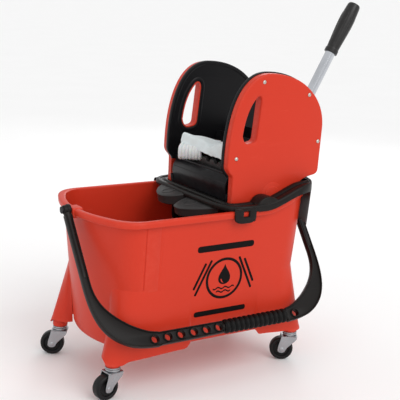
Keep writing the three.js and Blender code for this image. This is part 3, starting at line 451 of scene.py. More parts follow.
def canvas():
    """A woven band: crossing threads, a soft woven relief with painted shade in its low places, and small
    stains.
    """
    n = Nodes("mop_canvas")
    warp = n.wave(300, "X", 0.4)
    weft = n.wave(300, "Y", 0.4)
    weave_relief_and_shade = n.times(n.plus(warp, weft), 0.5)
    cloud = n.noise(28, 4, 0.6)
    # Painted shade: the band is darker where the woven relief is low, between the crossing threads.
    colour = n.mix(weave_relief_and_shade, (0.64, 0.70, 0.71), (0.76, 0.82, 0.83))
    colour = n.mix(n.span(cloud, 0.5, 0.75, 0, 0.4), colour, (0.60, 0.62, 0.58))
    n.bump(n.plus(weave_relief_and_shade, n.noise(90, 3)), 0.5, 0.0004)
    return n.set(color=colour, roughness=0.9, sheen=0.3, sheen_roughness=0.5, specular=0.2)


def print_ink():
    """Screen-printed ink: nearly black, a little worn through."""
    n = Nodes("print_ink")
    worn = n.span(n.noise(300, 4, 0.7), 0.66, 0.78, 0, 0.35)
    return n.set(color=n.mix(worn, (0.004, 0.003, 0.003), (0.16, 0.02, 0.012)),
                 roughness=n.span(n.noise(80, 3), 0.3, 0.7, 0.5, 0.65), specular=0.1)


COTTON = cotton()
CANVAS = canvas()
INK = print_ink()

# ---- bucket

RIM = 348.0
FLOOR = 84
WALL = 3.5
LIP = 9.0  # how far the rolled lip stands out
HOLD = RIM - FLOOR
RIM_RISE = 28.0
SIDE = 26  # divisions of a straight side of the collar
TURN, BOW, ROUND = 12, 24, 36  # divisions of a corner and of an end, and a corner's reach in mm
# At the floor and at the rim: half the tub's width, and each end's corner and furthest point.
HALF = (131, 146.5)
REAR = ((186, 205), (222, 253))
FRONT = ((175, 194), (214, 238))


def rim_rise(x):
    return RIM_RISE * smooth(100, 205, x)


def bowed_end(half, corner, end, run):
    """Half a plan: a bowed end between two round corners that share its tangents."""
    shoulder = half - run
    reach = 2 * run / shoulder
    meet = (corner + reach * end) / (1 + reach)
    return (curve(((corner - run, -half), (corner, -half), (meet, -shoulder)), TURN)
            + curve(((meet, -shoulder), (2 * end - meet, 0), (meet, shoulder)), BOW)[1:]
            + curve(((meet, shoulder), (corner, half), (corner - run, half)), TURN)[1:])


# Along one side: divisions of half the rear end, its corner, the wall up to the creases and the rest.
REAR_STEPS, CORNER_STEPS, WALL_STEPS, FRONT_STEPS = 14, 12, 18, 22
CREASE_FROM = REAR_STEPS + 1 + CORNER_STEPS + WALL_STEPS
CREASES = ((-158.7, 1.5, 1.5), (-128.0, 1.2, 0.5))  # x, half width and depth of the upright creases
CREASE = ((1, 0), (0.35, 0.8), (0, 1), (-0.35, 0.8), (-1, 0))
STATIONS = [(x + half * k, depth * d) for x, half, depth in reversed(CREASES) for k, d in CREASE]
REAR_LIP = 2.0  # the lip is narrower where the wringer lifts past it


def at_x(outline, x):
    """The point of a run of points, ordered by falling x, at a given x."""
    for a, b in zip(outline, outline[1:]):
        if a[0] >= x >= b[0]:
            t = (a[0] - x) / max(a[0] - b[0], 1e-9)
            return (x, a[1] + (b[1] - a[1]) * t)
    return outline[-1]


def arc_points(outline, count):
    """Points spread evenly along a run of points, both ends included."""
    lengths = [0.0]
    for a, b in zip(outline, outline[1:]):
        lengths.append(lengths[-1] + dist(a, b))
    out = []
    k = 0
    for i in range(count + 1):
        d = lengths[-1] * i / count
        while k < len(outline) - 2 and lengths[k + 1] < d:
            k += 1
        t = (d - lengths[k]) / max(lengths[k + 1] - lengths[k], 1e-9)
        out.append(tuple(p + (q - p) * t for p, q in zip(outline[k], outline[k + 1])))
    return out


def half_ring(height, grow):
    """One side of the tub's plan, from the rear's middle round to the front's middle, at y < 0."""
    def level(bottom, top):
        return bottom + (top - bottom) * (height - FLOOR) / HOLD + grow
    rear, front = (bowed_end(level(*HALF), level(*corner), level(*end), ROUND)[:TURN + BOW // 2 + 1]
                   for corner, end in (REAR, FRONT))
    front = [(-x, y) for x, y in front]
    along = arc_points(rear[TURN:][::-1], REAR_STEPS) + arc_points(rear[TURN::-1], CORNER_STEPS)[1:]
    start = along[-1]
    dense = [start] + front
    first = STATIONS[0][0] + 6
    along += [at_x(dense, start[0] + (first - start[0]) * i / WALL_STEPS) for i in range(1, WALL_STEPS + 1)]
    along += [at_x(dense, x) for x, depth in STATIONS]
    rest = along[-1:] + [p for p in front if p[0] < along[-1][0] - 0.5]
    return along + arc_points(rest, FRONT_STEPS)[1:]


def tub_ring(height, grow, outside=False):
    t = (height - FLOOR) / HOLD
    near = half_ring(height, grow)
    if outside:
        if height > RIM - 14:
            narrow = half_ring(height, min(grow, REAR_LIP))
            blend = [smooth(165, 195, p[0]) for p in near]
            near = [tuple(a + (b - a) * k for a, b in zip(p, q)) for p, q, k in zip(near, narrow, blend)]
        for i, (x, depth) in enumerate(STATIONS, CREASE_FROM):
            near[i] = (near[i][0], near[i][1] + depth * smooth(0.97, 0.93, t))
    ring = near + [(x, -y) for x, y in reversed(near[1:-1])]
    return [(x, y, height + rim_rise(x) * max(t, 0) ** 2) for x, y in ring]


def make_bucket():
    bucket = Shape()
    outside = [(84, -11), (84.2, -7), (85.2, -3.6), (87.5, -1.2), (91, 0)]
    outside += [(91 + i * (RIM - 15 - 91) / 16, 0) for i in range(1, 17)]
    outside += [(RIM - down, grow) for down, grow in (
        (14.2, 0.2), (13.4, 0.9), (13, 2.2), (12.9, LIP - 2.4), (12.6, LIP - 0.9), (11.6, LIP - 0.1),
        (10, LIP), (4.4, LIP), (2.2, LIP - 0.7), (0.8, LIP - 2.2), (0.1, LIP - 4.4), (0, LIP - 6))]
    inside = [(RIM, -WALL + 3.2), (RIM - 0.5, -WALL + 1.2), (RIM - 1.6, -WALL + 0.2), (RIM - 4, -WALL)]
    inside += [(RIM - 4 - i * (RIM - 4 - 104) / 12, -WALL) for i in range(1, 13)]
    inside += [(97, -WALL - 1.4), (91.5, -WALL - 5), (88.3, -WALL - 11), (87.5, -WALL - 18)]
    bucket.loft([tub_ring(h, g, True) for h, g in outside] + [tub_ring(h, g) for h, g in inside])
    for sx in (-1, 1):
        for sy in (-1, 1):
            make_foot(bucket, sx, sy)
    # Pads that the bail's pins go into.
    for start, end, top in ((-247.6, -228, RIM + 1.5), (268, 243, 359)):
        pad = rounded([(-15, 329, 7), (15, 329, 7), (15, top, 4), (-15, top, 4)])
        inward = 1 if start < 0 else -1
        bucket.plate(pad, [(start, -1.6), (start + inward * 0.6, -0.5), (start + inward * 1.8, 0), (end, 0)],
                     along_x)
    build("bucket_shell", bucket, RED, "bucket", ["bucket"], angle=38)


FOOT_END = 84.0  # a skirt closes on the end wall at this distance from the middle
FOOT_TOP = 212
STEM_X, STEM_Y = 210.5, 120  # the castors' stems


def foot_wall(sx, z, inner):
    """The tub's wall behind a foot, from its inner edge round the corner, in the foot's own quarter."""
    near = [(abs(x), abs(y)) for x, y in half_ring(z, -0.4) if x * sx > 0]
    if sx > 0:
        near = near[::-1]
    start = max(i for i, p in enumerate(near) if p[0] <= inner + 2)
    end = max(i for i, p in enumerate(near) if p[1] >= FOOT_END)
    cut = []
    for i, axis, value in ((start, 0, inner + 2), (end, 1, FOOT_END)):
        a, b = near[i], near[i + 1]
        t = (value - a[axis]) / (b[axis] - a[axis])
        cut.append((a[0] + (b[0] - a[0]) * t, a[1] + (b[1] - a[1]) * t))
    return arc_points([cut[0]] + near[start + 1:end + 1] + [cut[1]], 44)


def make_foot(bucket, sx, sy):
    """A skirt that flares out of the wall, hollow below, with a boss for the castor's stem."""
    inner = 46 if sx < 0 else 103
    path = arc_points(trace(
        (inner, 130), ((inner + 2, 137.5), 3), ((inner + 3, 138.6), (inner + 6, 138.8), 3),
        ((196, 140.4), 14), ((220, 141), (228, 131), 10), ((235, 120), (228, 106), 8),
        ((221, 91), (206, 85), 6), ((199, FOOT_END), 1)), 44)
    steps = 22

    def bottom(x, y):
        if y < 134 and (x > 200 or y < 100):
            return 70 + 11 * smooth(134, 114, y)
        rise = 5 * smooth(200, 186, x) + 3.5 * smooth(180, inner + 20, x)
        return 70 + rise + 12 * smooth(inner + 15, inner + 1, x)
    # The lowest edge stands off the wall there; higher up the skirt closes on the wall.
    walls = {z: foot_wall(sx, z, inner) for z in range(FLOOR, FOOT_TOP + 1)}
    rings = []
    for j in range(steps + 1):
        t = j / steps
        ring = []
        for i, (x, y) in enumerate(path):
            z = FOOT_TOP + (bottom(x, y) - FOOT_TOP) * t
            height = max(z, FLOOR)
            low = int(height)
            high = min(low + 1, FOOT_TOP)
            wall = Vector(walls[low][i]).lerp(Vector(walls[high][i]), height - low)
            off = Vector((x, y)) - Vector(walls[FLOOR][i])
            power = 2.2 - 1.2 * smooth(10, 26, off.length)
            p = wall + off * t ** power
            ring.append((sx * p.x, sy * p.y, z))
        rings.append(ring)
    outer = rings[-1]
    centre = Vector((sx * 180, sy * 112))

    def pulled(ring, distance, lift):
        out = []
        for p, normal in zip(ring, normals(ring)):
            if normal.dot(centre - Vector(p[:2])) < 0:
                normal = -normal
            out.append((p[0] + normal.x * distance, p[1] + normal.y * distance, p[2] + lift))
        return out
    rings += [pulled(outer, *shift) for shift in ((0.4, -0.7), (1.4, -1.0), (2.4, -0.5), (2.8, 0.8))]
    rings += [pulled(ring, 3.0, 0) for ring in reversed(rings[4:steps:2])]
    bucket.loft(rings, closed=False, caps=False)
    x, y = sx * STEM_X, sy * STEM_Y
    boss = [(6.3, 64), (14, 64, 0), (15.5, 66, 1), (14.5, 78, 2), (10, 101, 1), (9, 104), (6.3, 104)]
    bucket.lathe(soften(boss), (x, y, 0), Z, 32, closed=True)
    for angle in (140, 260):
        w = radians(angle)
        ax, ay = cos(w) * sx, sin(w) * sy
        rib = [(-1.4, 0), (1.4, 0), (1.4, 30), (-1.4, 30)]
        bucket.loft([[(x + ax * (10 + d) - ay * a, y + ay * (10 + d) + ax * a, 74 + b) for a, b in rib]
                     for d in (0, 14)])


# ---- print on the near wall

MARK = (22, 128)  # the mark's middle on the wall


def on_wall(u, v, lift):
    """A point of the flat near wall: u along X and v up the wall from its foot, lifted off it."""
    slope = (HALF[1] - HALF[0]) / HOLD
    z = FLOOR + v / hypot(1, slope)
    return (u, -(HALF[0] + slope * (z - FLOOR)) - lift, z)


def make_print():
    """A plain generic mark: a drop over ripples in a ring, with plain bars round it."""
    ink = Shape()

    def decal(outline, holes=(), turn=0.0, centre=(0, 0)):
        c, s = cos(radians(turn)), sin(radians(turn))

        def put(loop):
            moved = [(a + centre[0], b + centre[1]) for a, b in loop]
            return [(a * c - b * s + MARK[0], a * s + b * c + MARK[1]) for a, b in moved]
        ink.plate(put(outline), [(-0.05, 0), (0.22, 0)], on_wall, [put(hole) for hole in holes])

    def bar(length, height):
        r = height / 2
        return round_box(-length / 2, -r, length / 2, r, r * 0.98, 5)
    decal(ellipse(0, 0, 43, 43, 72), [ellipse(0, 0, 37.5, 37.5, 72)])
    drop = trace((0, 27), ((-3, 16), (-14, 8), (-14, -3), 12), ((-14, -20), (14, -20), (14, -3), 18),
                 ((14, 8), (3, 16), (0, 27), 12))
    shine = trace((-8.5, -4), ((-8, -11.5), (-0.5, -12.5), 8), ((-5.5, -9), (-5.8, -4), 8))
    decal(drop, [shine], centre=(0, 3))
    for row, width in ((-20, 25), (-27.5, 17)):
        upper = [(x, row + 1.7 * sin(x * tau / 17) + 1.5) for x in
                 [(-width + 2 * width * i / 40) for i in range(41)]]
        lower = [(x, y - 3) for x, y in reversed(upper)]
        decal(upper + lower)
    decal(bar(132, 13), centre=(-1, 66))
    decal(bar(122, 11), centre=(-4, -69))
    for side in (-1, 1):
        decal(bar(78, 5), turn=side * 64, centre=(-side * 16, 47))
        decal(bar(58, 5), turn=side * 64, centre=(-side * 16, 56.5))
    build("print_mark", ink, INK, "bucket", [])


make_bucket()
make_print()

# ---- castors

CASTORS = {"front_near": (-1, -1, 187), "front_far": (-1, 1, 147),  # its corner and its heading
           "rear_near": (1, -1, 147), "rear_far": (1, 1, 165)}
AXLE_Z = 25 * cos(pi / 24)
TRAIL = 16.0


def make_castor(name, sx, sy, heading):
    """A swivel castor, drawn with its stem at the origin and its wheel trailing towards +X."""
    turn = Matrix.Rotation(radians(heading), 3, "Z")

    def place(p):
        return turn @ p + Vector((sx * STEM_X, sy * STEM_Y, 0))

    def part(kind, shape, material, body, node):
        build(f"castor_{kind}_{name}", shape, material, body, [f"castor_{node}_{name}"], 40)
    axle = (TRAIL, 0, AXLE_Z)

    wheel = Shape(place)
    side = soften([(3.3, 8.0), (7.6, 8.0, 0.8), (8.2, 6.4, 0.6), (15.5, 5.8, 1.0), (16.6, 8.4, 1.0),
                   (17.6, 9.6, 0.8), (21.6, 9.9, 1.4), (24.0, 8.2, 1.4), (24.7, 5.5, 1.6), (24.78, 0.0)], 4)
    wheel.lathe(mirrored(side), axle, Y, 64, closed=True)
    part("tyre", wheel, TYRE, f"castor_wheel_{name}", "wheel")

    fork = Shape(place)
    leg = rounded([(-15.5, 55, 2), (-15.5, 48, 5), (TRAIL - 8.5, AXLE_Z + 1, 8),
                   (TRAIL - 7, AXLE_Z - 7.4, 6.5), (TRAIL + 7, AXLE_Z - 7.4, 6.5),
                   (TRAIL + 8.5, AXLE_Z + 2, 7), (18, 49, 5), (17, 55, 2)])
    hole = ellipse(TRAIL, AXLE_Z, 3.3, 3.3, 20)
    for s in (-1, 1):
        fork.plate(leg, [(12.0, -0.3), (12.3, 0), (13.7, 0), (14.0, -0.3)], along_y, [hole], s)
    fork.plate(round_box(-16, -14, 17, 14, 3, 5), [(52.9, -0.4), (53.3, 0), (54.8, 0), (55.4, -0.6)], along_z,
               [ellipse(0, 0, 6.6, 6.6, 24)])
    cup = soften([(6.6, 54.6), (13.2, 54.6, 0.5), (14.2, 56.4, 1.0), (15.2, 57.5, 0.6), (15.0, 60.0, 0.6),
                  (12.0, 60.4, 0.3), (6.6, 60.2)])
    fork.lathe(cup, (0, 0, 0), Z, 40, closed=True)
    part("yoke", fork, CASTOR_STEEL, f"castor_fork_{name}", "fork")

    rivet = Shape(place)
    head = soften([(0, 15.4), (3.2, 15.2, 0.6), (4.6, 14.3, 0.3), (4.9, 14.2), (3.0, 14.1), (3.0, 0)])
    rivet.lathe(mirrored(head), axle, Y, 28)
    part("rivet", rivet, CASTOR_STEEL, f"castor_fork_{name}", "axle")

    stem = Shape(place)
    stem.lathe(soften([(0, 50.5), (5.6, 50.5, 0.6), (6.0, 52, 0.4), (6.0, 60.9, 0.3), (15, 60.9, 0.6),
                       (15, 63.6, 0.6), (6.0, 63.7, 0.3), (6.0, 100, 1), (3.8, 102.8, 0.5), (0, 103)]),
               (0, 0, 0), Z, 32)
    part("post", stem, CASTOR_STEEL, "bucket", "stem")


for key, values in CASTORS.items():
    make_castor(key, *values)

# ---- bail handle

PIVOT_Z = 345.0
LEAN = radians(36.8)
BAR_Z = -278.5  # the middle of the crossbar, in the bail's own frame
GRIP_X = (6.3, 156.7)


def on_bail(p):
    """From the bail's own frame, hanging straight down from its pivot, to where it lies."""
    turn = Matrix.Rotation(-LEAN, 3, "X")
    return turn @ Vector(p) + Vector((0, 0, PIVOT_Z))


def make_bail():
    bail = Shape(on_bail)
    radius = 7.5
    edge = [(-3.6, -3.72), (-3.4, -3.12), (-5.6, -2.52), (-6.3, -1.56), (-6.0, -0.72), (-4.6, -0.12), (0, 0)]
    levels = edge + [(-d, g) for d, g in reversed(edge[:-1])]
    head = soften([(4.3, -7.4), (7.4, -7.4, 0.8), (8.8, -6.0, 1.0), (9.2, 0, 1), (10.6, 1, 0.6),
                   (10.6, 6.4, 0.8), (9.6, 7.4, 0.8), (4.3, 7.4)])
    # Each half is a crescent that runs from its arm's top round to the grip's end. The front half's
    # bar also goes on behind the grip.
    front_bar = [((-137, -291.4), 1), ((4, -290.4), 8), ((4, -266.6), 1), ((-137, -265.6), 8)]
    rear_bar = [((159, -290.6), 1), ((159, -266.4), 1)]
    for arm, s, bar, places in ((-255.5, 1, front_bar, [-149 + 28.6 * i for i in range(6)]),
                                (276.0, -1, rear_bar, [181])):
        out, back = arm - s * radius, arm + s * radius
        outline = trace(
            (out, -12), ((out, -150), 8), ((out, -215), (out + s * 10, -262), (out + s * 68, -285), 22),
            ((out + s * 92, -292), (out + s * 122, -293), 8), *bar, ((out + s * 122, -264), 1),
            ((back + s * 86, -262), (back + s * 55, -242), 8),
            ((back + s * 16, -214), (back, -190), (back, -150), 22), ((back, -12), 8))
        bail.plate(outline, levels, along_y, [ellipse(x, BAR_Z, 7.4, 6.6, 28) for x in places])
        # A rounded spine down the arm's outer face, fading into the crescent.
        path = [(arm, 0, z) for z in range(-8, -150, -12)]
        bail.tube(path, [7.3] * (len(path) - 2) + [6.6, 5.4], 20)
        bail.lathe(head, (arm, 0, 0), (s, 0, 0), 40, closed=True)
    core = soften([(0, 2), (8, 2, 0.5), (8, 161, 0.5), (0, 161)])
    bail.lathe(core, (0, 0, BAR_Z), X, 32)
    build("bail_bar", bail, BLACK, "bail", ["bail_handle"], 40)

    grip = Shape(on_bail)
    start, end = GRIP_X
    profile = [(8.4, start), (11.4, start)]
    pitch = (end - start) / 13
    for i in range(13):
        for u, r in ((0.10, 11.6), (0.20, 13.2), (0.34, 14.2), (0.5, 14.5), (0.66, 14.2), (0.80, 13.2),
                     (0.90, 11.6), (1.0, 10.9)):
            profile.append((r, start + i * pitch + u * pitch))
    profile.append((8.4, end))
    grip.lathe(profile, (0, 0, BAR_Z), X, 48, closed=True)
    build("bail_sleeve", grip, RUBBER, "bail", ["bail_grip"], 60)


make_bail()

# ---- wringer: side panels

SCREWS = [(103, 594), (216, 566), (246, 470), (46, 446)]


SIDES = (("near", -1), ("far", 1))
# The panels' outline (x, z) from the front's lower corner over the top to the rear underside.
TOP = [((40, 406), 4), ((40, 410), (36, 414), 5), ((28, 421), (27, 430), 6),
       ((27, 540), (60, 610), (118, 610), 34), ((200, 610), (257, 560), (257, 500), 34), ((253, 412), 8),
       ((252, 402), (242, 400), 6), ((206, 395), (204, 380), 10)]
SLOT = turned_left(trace((93, 484), ((100, 556), 4), ((99, 570), (90, 564), 7), ((66, 540), (60, 490), 12),
                         ((64, 470), (80, 475), 7), ((92, 476), (93, 484), 5)))
LEVER_PIVOT = (137, -87.5, 368)


def make_panel(word, side):
    shell = Shape()
    outline = trace((40, 353), *TOP, ((203, 372), 1), ((203, 353), 3))
    shell.plate(outline, [(109.8, 0), (119.6, 0), (121.8, -0.3), (123.2, -1.1), (124.1, -2.3), (124.4, -4.0)],
                along_y, [SLOT], side)
    # The tunnel's wall carries on through the liner.
    shell.plate(offset(SLOT, 2.9), [(102.4, -0.4), (102.9, 0), (110, 0)], along_y, [offset(SLOT, 0.2)], side)
    # A low round boss over the lever's shaft, with a ring moulded round it.
    for face, radius in ((125.9, 17), (124.9, 25)):
        shell.plate(ellipse(LEVER_PIVOT[0], LEVER_PIVOT[2], radius, radius, 56),
                    [(120, 0), (face - 0.8, 0), (face - 0.2, -0.3), (face, -1.2)], along_y, side=side)
    build(f"panel_shell_{word}", shell, RED, "wringer", [f"side_shell_{word}"], 38)

    liner = Shape()
    top = offset(turned_left(trace((40, 366), ((40, 406), 1), *TOP[1:], ((203.5, 372), 1))), 2.5)
    foremost = min(x for x, z in top if z < 380)
    edge = [p for p in top if p[1] >= 380]
    start = max(range(len(edge)), key=lambda i: edge[i][0] * (edge[i][1] < 390))
    outline = chain(edge[start:] + edge[:start], [(foremost, 372)], rounded(
        [(44, 340, 0), (44, 262, 24), (196, 262, 24), (205, 376, 0)], 8))
    levels = [(102.9, -9.4), (102.8, -8.6), (102.0, -7.8), (101.5, -6.8), (101.3, -5.4), (101.3, -2.2),
              (101.7, -0.9), (102.6, -0.1), (103.6, 0), (107.6, 0), (108.8, -0.5), (109.3, -1.6)]
    liner.plate(outline, levels, along_y, [offset(SLOT, 3.3)], side)
    build(f"panel_liner_{word}", liner, LINER, "wringer", [f"side_liner_{word}"], 38)


def make_screws(word, side):
    """Pan-head screws with a recess."""
    for number, (x, z) in enumerate(SCREWS, 1):
        screw = Shape()
        head = soften([(0, 125.6), (1.0, 125.7), (1.2, 126.5, 0.2), (2.6, 126.3, 0.8), (4.0, 124.9, 0.2),
                       (4.0, 124.7), (2.0, 124.6), (2.0, 105.4), (0, 105.3)])
        screw.lathe([(r, side * d) for r, d in head], (x, 0, z), Y, 24)
        build(f"screw_{word}_{number}", screw, SCREW_STEEL, "wringer", [f"panel_screw_{word}_{number}"],
              40)


for make in (make_panel, make_screws):
    for panel in SIDES:
        make(*panel)

# ---- wringer: collar, trough, tray

def collar_plan(blend):
    """The ring between its outer edge (0) and its opening (1)."""
    def edge(half, rear, front):
        back = bowed_end(half, *rear)
        ahead = [(-x, -y) for x, y in bowed_end(half, *front)]
        far = curve((back[-1], ahead[0]), SIDE)[1:-1]
        near = curve((ahead[-1], back[0]), SIDE)[1:-1]
        return back + far + ahead + near
    outer = edge(160, (218.5, 266.5, 36), (-10.5, -8, 62))
    inner = edge(124.7, (230, 232, 8), (-37.5, -37, 12))
    return [(p[0] + (q[0] - p[0]) * blend, p[1] + (q[1] - p[1]) * blend) for p, q in zip(outer, inner)]


def make_collar():
    collar = Shape()

    def top(x):
        return 10.5 + 1.5 * smooth(60, 110, x) + 3 * smooth(150, 215, x)

    def rest(x):
        return 0.3 + 2.5 * smooth(90, 108, x)

    def hook(x):
        return -3.3 * smooth(72, 86, x) + 0.3

    def level(blend, lift):
        return [(x, y, RIM + rim_rise(x) + lift(x)) for x, y in collar_plan(blend)]

    def under(drop):
        return lambda x: top(x) - drop
    section = [
        (0.02, hook), (0, lambda x: hook(x) + 0.8), (0, under(5)), (0.02, under(2.4)),
        (0.06, under(0.9)), (0.11, under(0.15)), (0.16, under(0)), (0.28, under(0)), (0.33, under(0.5)),
        (0.37, under(2.4)), (0.42, under(2.8)), (0.58, under(2.8)), (0.63, under(2.4)), (0.67, under(0.5)),
        (0.72, under(0)), (0.88, under(0)), (0.95, under(0.5)), (1, under(2)), (1, lambda x: 5.4),
        (0.97, lambda x: 4.8), (0.4, rest), (0.14, rest), (0.12, lambda x: rest(x) * 0.5 + hook(x) * 0.5),
        (0.11, lambda x: hook(x) + 0.3), (0.1, hook)]
    collar.loft([level(b, f) for b, f in section], hoop=True)
    for side in (-1, 1):
        tab = rounded([(27, 353, 4), (27, 331, 5), (37, 325, 7), (67, 325, 7), (76, 331, 5), (76, 355, 4)], 6)
        collar.plate(tab, [(156.1, 0), (159.5, 0), (160.7, -0.6), (161.1, -1.8)], along_y,
                     [round_box(46, 338, 60, 350, 1.5, 4)], side)
        # The tab's root runs in over the lip to the ring.
        start = 30 if side < 0 else 52
        root = rounded([(start, side * 137, 3), (76, side * 150, 3), (76, side * 158, 2),
                        (start, side * 158, 2)], 4)
        collar.plate(root, [(348.5, -0.4), (349, 0), (353, 0), (354.6, -0.6), (355.4, -2)], along_z)
        hump = trace((82, 356), ((82, 359), 1), ((90, 373), (104, 373), 10), ((120, 373), (134, 362), 10),
                     ((136, 356), 1))
        collar.plate(hump, [(126.5, -1.5), (127.5, -0.4), (129, 0), (154.5, 0), (157.2, -0.8), (158.4, -2.4)],
                     along_y, side=side)
    # A strap follows each rear corner of the bucket down.
    plan0, plan1 = collar_plan(0), collar_plan(0.11)
    for side in (-1, 1):
        picked = [i for i, (x, y) in enumerate(plan0) if x > 215 and y * side > 55]
        rings = []
        for z, inset, grow in ((300, 7.4, -0.8), (301, 7.0, 0), (320, 5.2, 0), (350, 2.4, 0), (376, 0, 0)):
            outer = [(plan0[i][0] - inset + grow, plan0[i][1] + side * grow, z) for i in picked]
            inner = [(plan1[i][0] - inset, plan1[i][1], z) for i in reversed(picked)]
            rings.append(outer + inner)
        collar.loft(rings)
    build("collar_ring", collar, BLACK, "wringer", ["wringer_collar"], 40)


def make_trough():
    trough = Shape()
    line = trace((50, 409), ((37, 398), (38, 380), 10), ((42, 364), (46, 300), 10),
                 ((52, 268), (90, 266), 10), ((150, 266), 4), ((190, 268), (197, 300), 10), ((212, 470), 10))
    inner = [(p[0] + normal.x * 4, p[1] + normal.y * 4) for p, normal in zip(line, normals(line))]
    trough.plate(line + inner[::-1], [(-101, -0.2), (-100.7, 0), (100.7, 0), (101, -0.2)], along_y)
    # A rolled lip along the front wall's top, and two shallow folds below it.
    trough.tube([(50.5, y, 408.6) for y in range(-99, 100, 6)], 3.1, 14)
    for z, x, r in ((392, 40.6, 1.7), (345, 42.6, 1.5)):
        trough.tube([(x, y, z) for y in range(-98, 99, 7)], r, 10)
    build("trough_shell", trough, LINER, "wringer", ["wringer_trough"], 38)


def make_tray():
    tray = Shape()
    tray.plate(round_box(6, -88, 32, 88, 4), [(328, -0.5), (328.6, 0), (331.4, 0), (332, -0.5)], along_z)
    for side, tip, high in ((-1, -36, 347.5), (1, -27, 353.5)):
        # A lens with a blunt tip, its top sloping down to the tip and a steep facet below its edge.
        outline = turned_left(trace(
            (24, side), ((-8, side * 3), (tip + 4, side * 24), 14),
            ((tip - 3, side * 38), (tip + 2, side * 54), 8), ((-12, side * 90), (24, side * 106), 16)))

        def ring(grow, drop, slope):
            return [(x, y, high + (x - 10) * slope - drop) for x, y in offset(outline, grow)]
        tray.loft([ring(*level) for level in (
            (-6, 26, 0), (-3.5, 24, 0), (-1.2, 9, 0.08), (-0.2, 4.6, 0.12), (0, 3.2, 0.15), (-0.5, 2.0, 0.16),
            (-1.8, 1.0, 0.17), (-5, 0.3, 0.17), (-10, 0, 0.17))])
        # A raised plain oval on each lobe.
        oval = [(x, y, high + 0.1 + (x - 10) * 0.17) for x, y in ellipse(-4, side * 44, 14, 11, 36)]
        tray.tube(oval, 0.9, 8, closed=True)
    build("tray_lobes", tray, GREY, "wringer", ["drain_tray"], 30)


make_collar()
make_trough()
make_tray()

# ---- lever

LEVER_LEAN = radians(29.3)
LEVER_DIRECTION = (sin(LEVER_LEAN), 0, cos(LEVER_LEAN))


def lever_at(distance):
    return tuple(p + distance * d for p, d in zip(LEVER_PIVOT, LEVER_DIRECTION))


def make_lever():
    tube = Shape()
    tube.lathe(soften([(9.2, 40), (10.2, 40, 0.3), (10.5, 41, 0.3), (10.5, 423, 0.3), (10.2, 424, 0.3),
                       (9.2, 424)]), LEVER_PIVOT, LEVER_DIRECTION, 64, closed=True)
    build("lever_pole", tube, CHROME, "lever", ["lever_tube"], 40)

    grip = Shape()
    profile = soften([
        (10.8, 0), (13.2, 0, 0.6), (13.9, 0.8, 0.4), (13.9, 8.6, 0.8), (12.9, 10.2, 1), (12.9, 13, 1),
        (13.5, 24, 6), (14.6, 50, 12), (15.2, 78, 14), (14.3, 100, 8), (13.2, 110, 2), (11.6, 113.2, 1.6),
        (4, 114, 1), (0, 114)], 6)
    bore = [(0, 106.3), (10.8, 106.3), (10.8, 0)]
    grip.lathe(profile + bore, lever_at(318), LEVER_DIRECTION, 56)
    # Long flutes are moulded down the grip.
    side = Vector(LEVER_DIRECTION).orthogonal().normalized()
    other = Vector(LEVER_DIRECTION).cross(side)
    for w in turns(10):
        out = side * cos(w) + other * sin(w)
        path, radii = [], []
        for k in range(13):
            d = 16 + 80 * k / 12
            radius = 12.9 + 2.2 * smooth(12, 78, d) - 1.6 * smooth(80, 104, d)
            path.append(Vector(lever_at(318 + d)) + out * (radius - 0.35))
            radii.append(1.3 * sin(pi * (k + 0.6) / 13.2) ** 0.4)
        grip.tube(path, radii, 10)
    build("lever_handgrip", grip, HANDLE, "lever", ["lever_grip"], 50)

    socket = Shape()
    hub = [(7.3, -10.5), (15.6, -10.5, 0.8), (17, -9, 0.8), (17, 9, 0.8), (15.6, 10.5, 0.8), (7.3, 10.5)]
    socket.lathe(soften(hub), LEVER_PIVOT, Y, 48, closed=True)
    sleeve = [(10.8, 15), (13.4, 15, 0.5), (13.5, 17, 0.5), (12.9, 78, 1.5), (13.9, 79.5, 0.8),
              (13.9, 83, 0.8), (13.2, 84, 0.5), (10.8, 84)]
    socket.lathe(soften(sleeve), LEVER_PIVOT, LEVER_DIRECTION, 48, closed=True)
    build("lever_holder", socket, IRON, "lever", ["lever_socket"], 40)


make_lever()

# ---- press plate

GEARS_APART = 66
PRESS = Vector((LEVER_PIVOT[0] - GEARS_APART * cos(radians(30)),
                LEVER_PIVOT[2] - GEARS_APART * sin(radians(30))))
PRESS_LEAN = radians(14)


def make_press():
    press = Shape()
    up = Vector((-sin(PRESS_LEAN), cos(PRESS_LEAN)))
    out = Vector((up.y, -up.x))

    def leaning(a, b, d):
        p = PRESS + up * b + out * d
        return (p.x, a, p.y)
    # The blade's outline runs across the wringer (a) and up the blade (b), with notches in its top.
    outline = [(-55, 0), (95, 0), (95, 94)]
    for y in (80, 50, 20, -10, -40):
        outline += [(y + 8, 94), (y + 6, 87), (y - 6, 87), (y - 8, 94)]
    outline.append((-55, 94))
    press.plate(rounded([(x, y, 1.6) for x, y in outline], 3),
                [(-3.5, -0.6), (-2.9, 0), (2.9, 0), (3.5, -0.6)], leaning)
    for y in range(-45, 91, 15):
        press.loft([[leaning(y + s * 2.0 * (1 - k * 0.35), b + dip * k, 3.2 + 4 * k)
                     for s, k in ((-1, 0), (1, 0), (1, 1), (-1, 1))] for b, dip in ((12, 2), (84, -2))])
    hinge = [(6.8, -55), (9.4, -55, 0.6), (10, -54, 0.6), (10, 94, 0.6), (9.4, 95, 0.6), (6.8, 95)]
    press.lathe(soften(hinge), (PRESS.x, 0, PRESS.y), Y, 40, closed=True)
    build("press_blade", press, GREY, "press", ["press_plate"], 38)


make_press()

# ---- CAD nodes that stay as they are

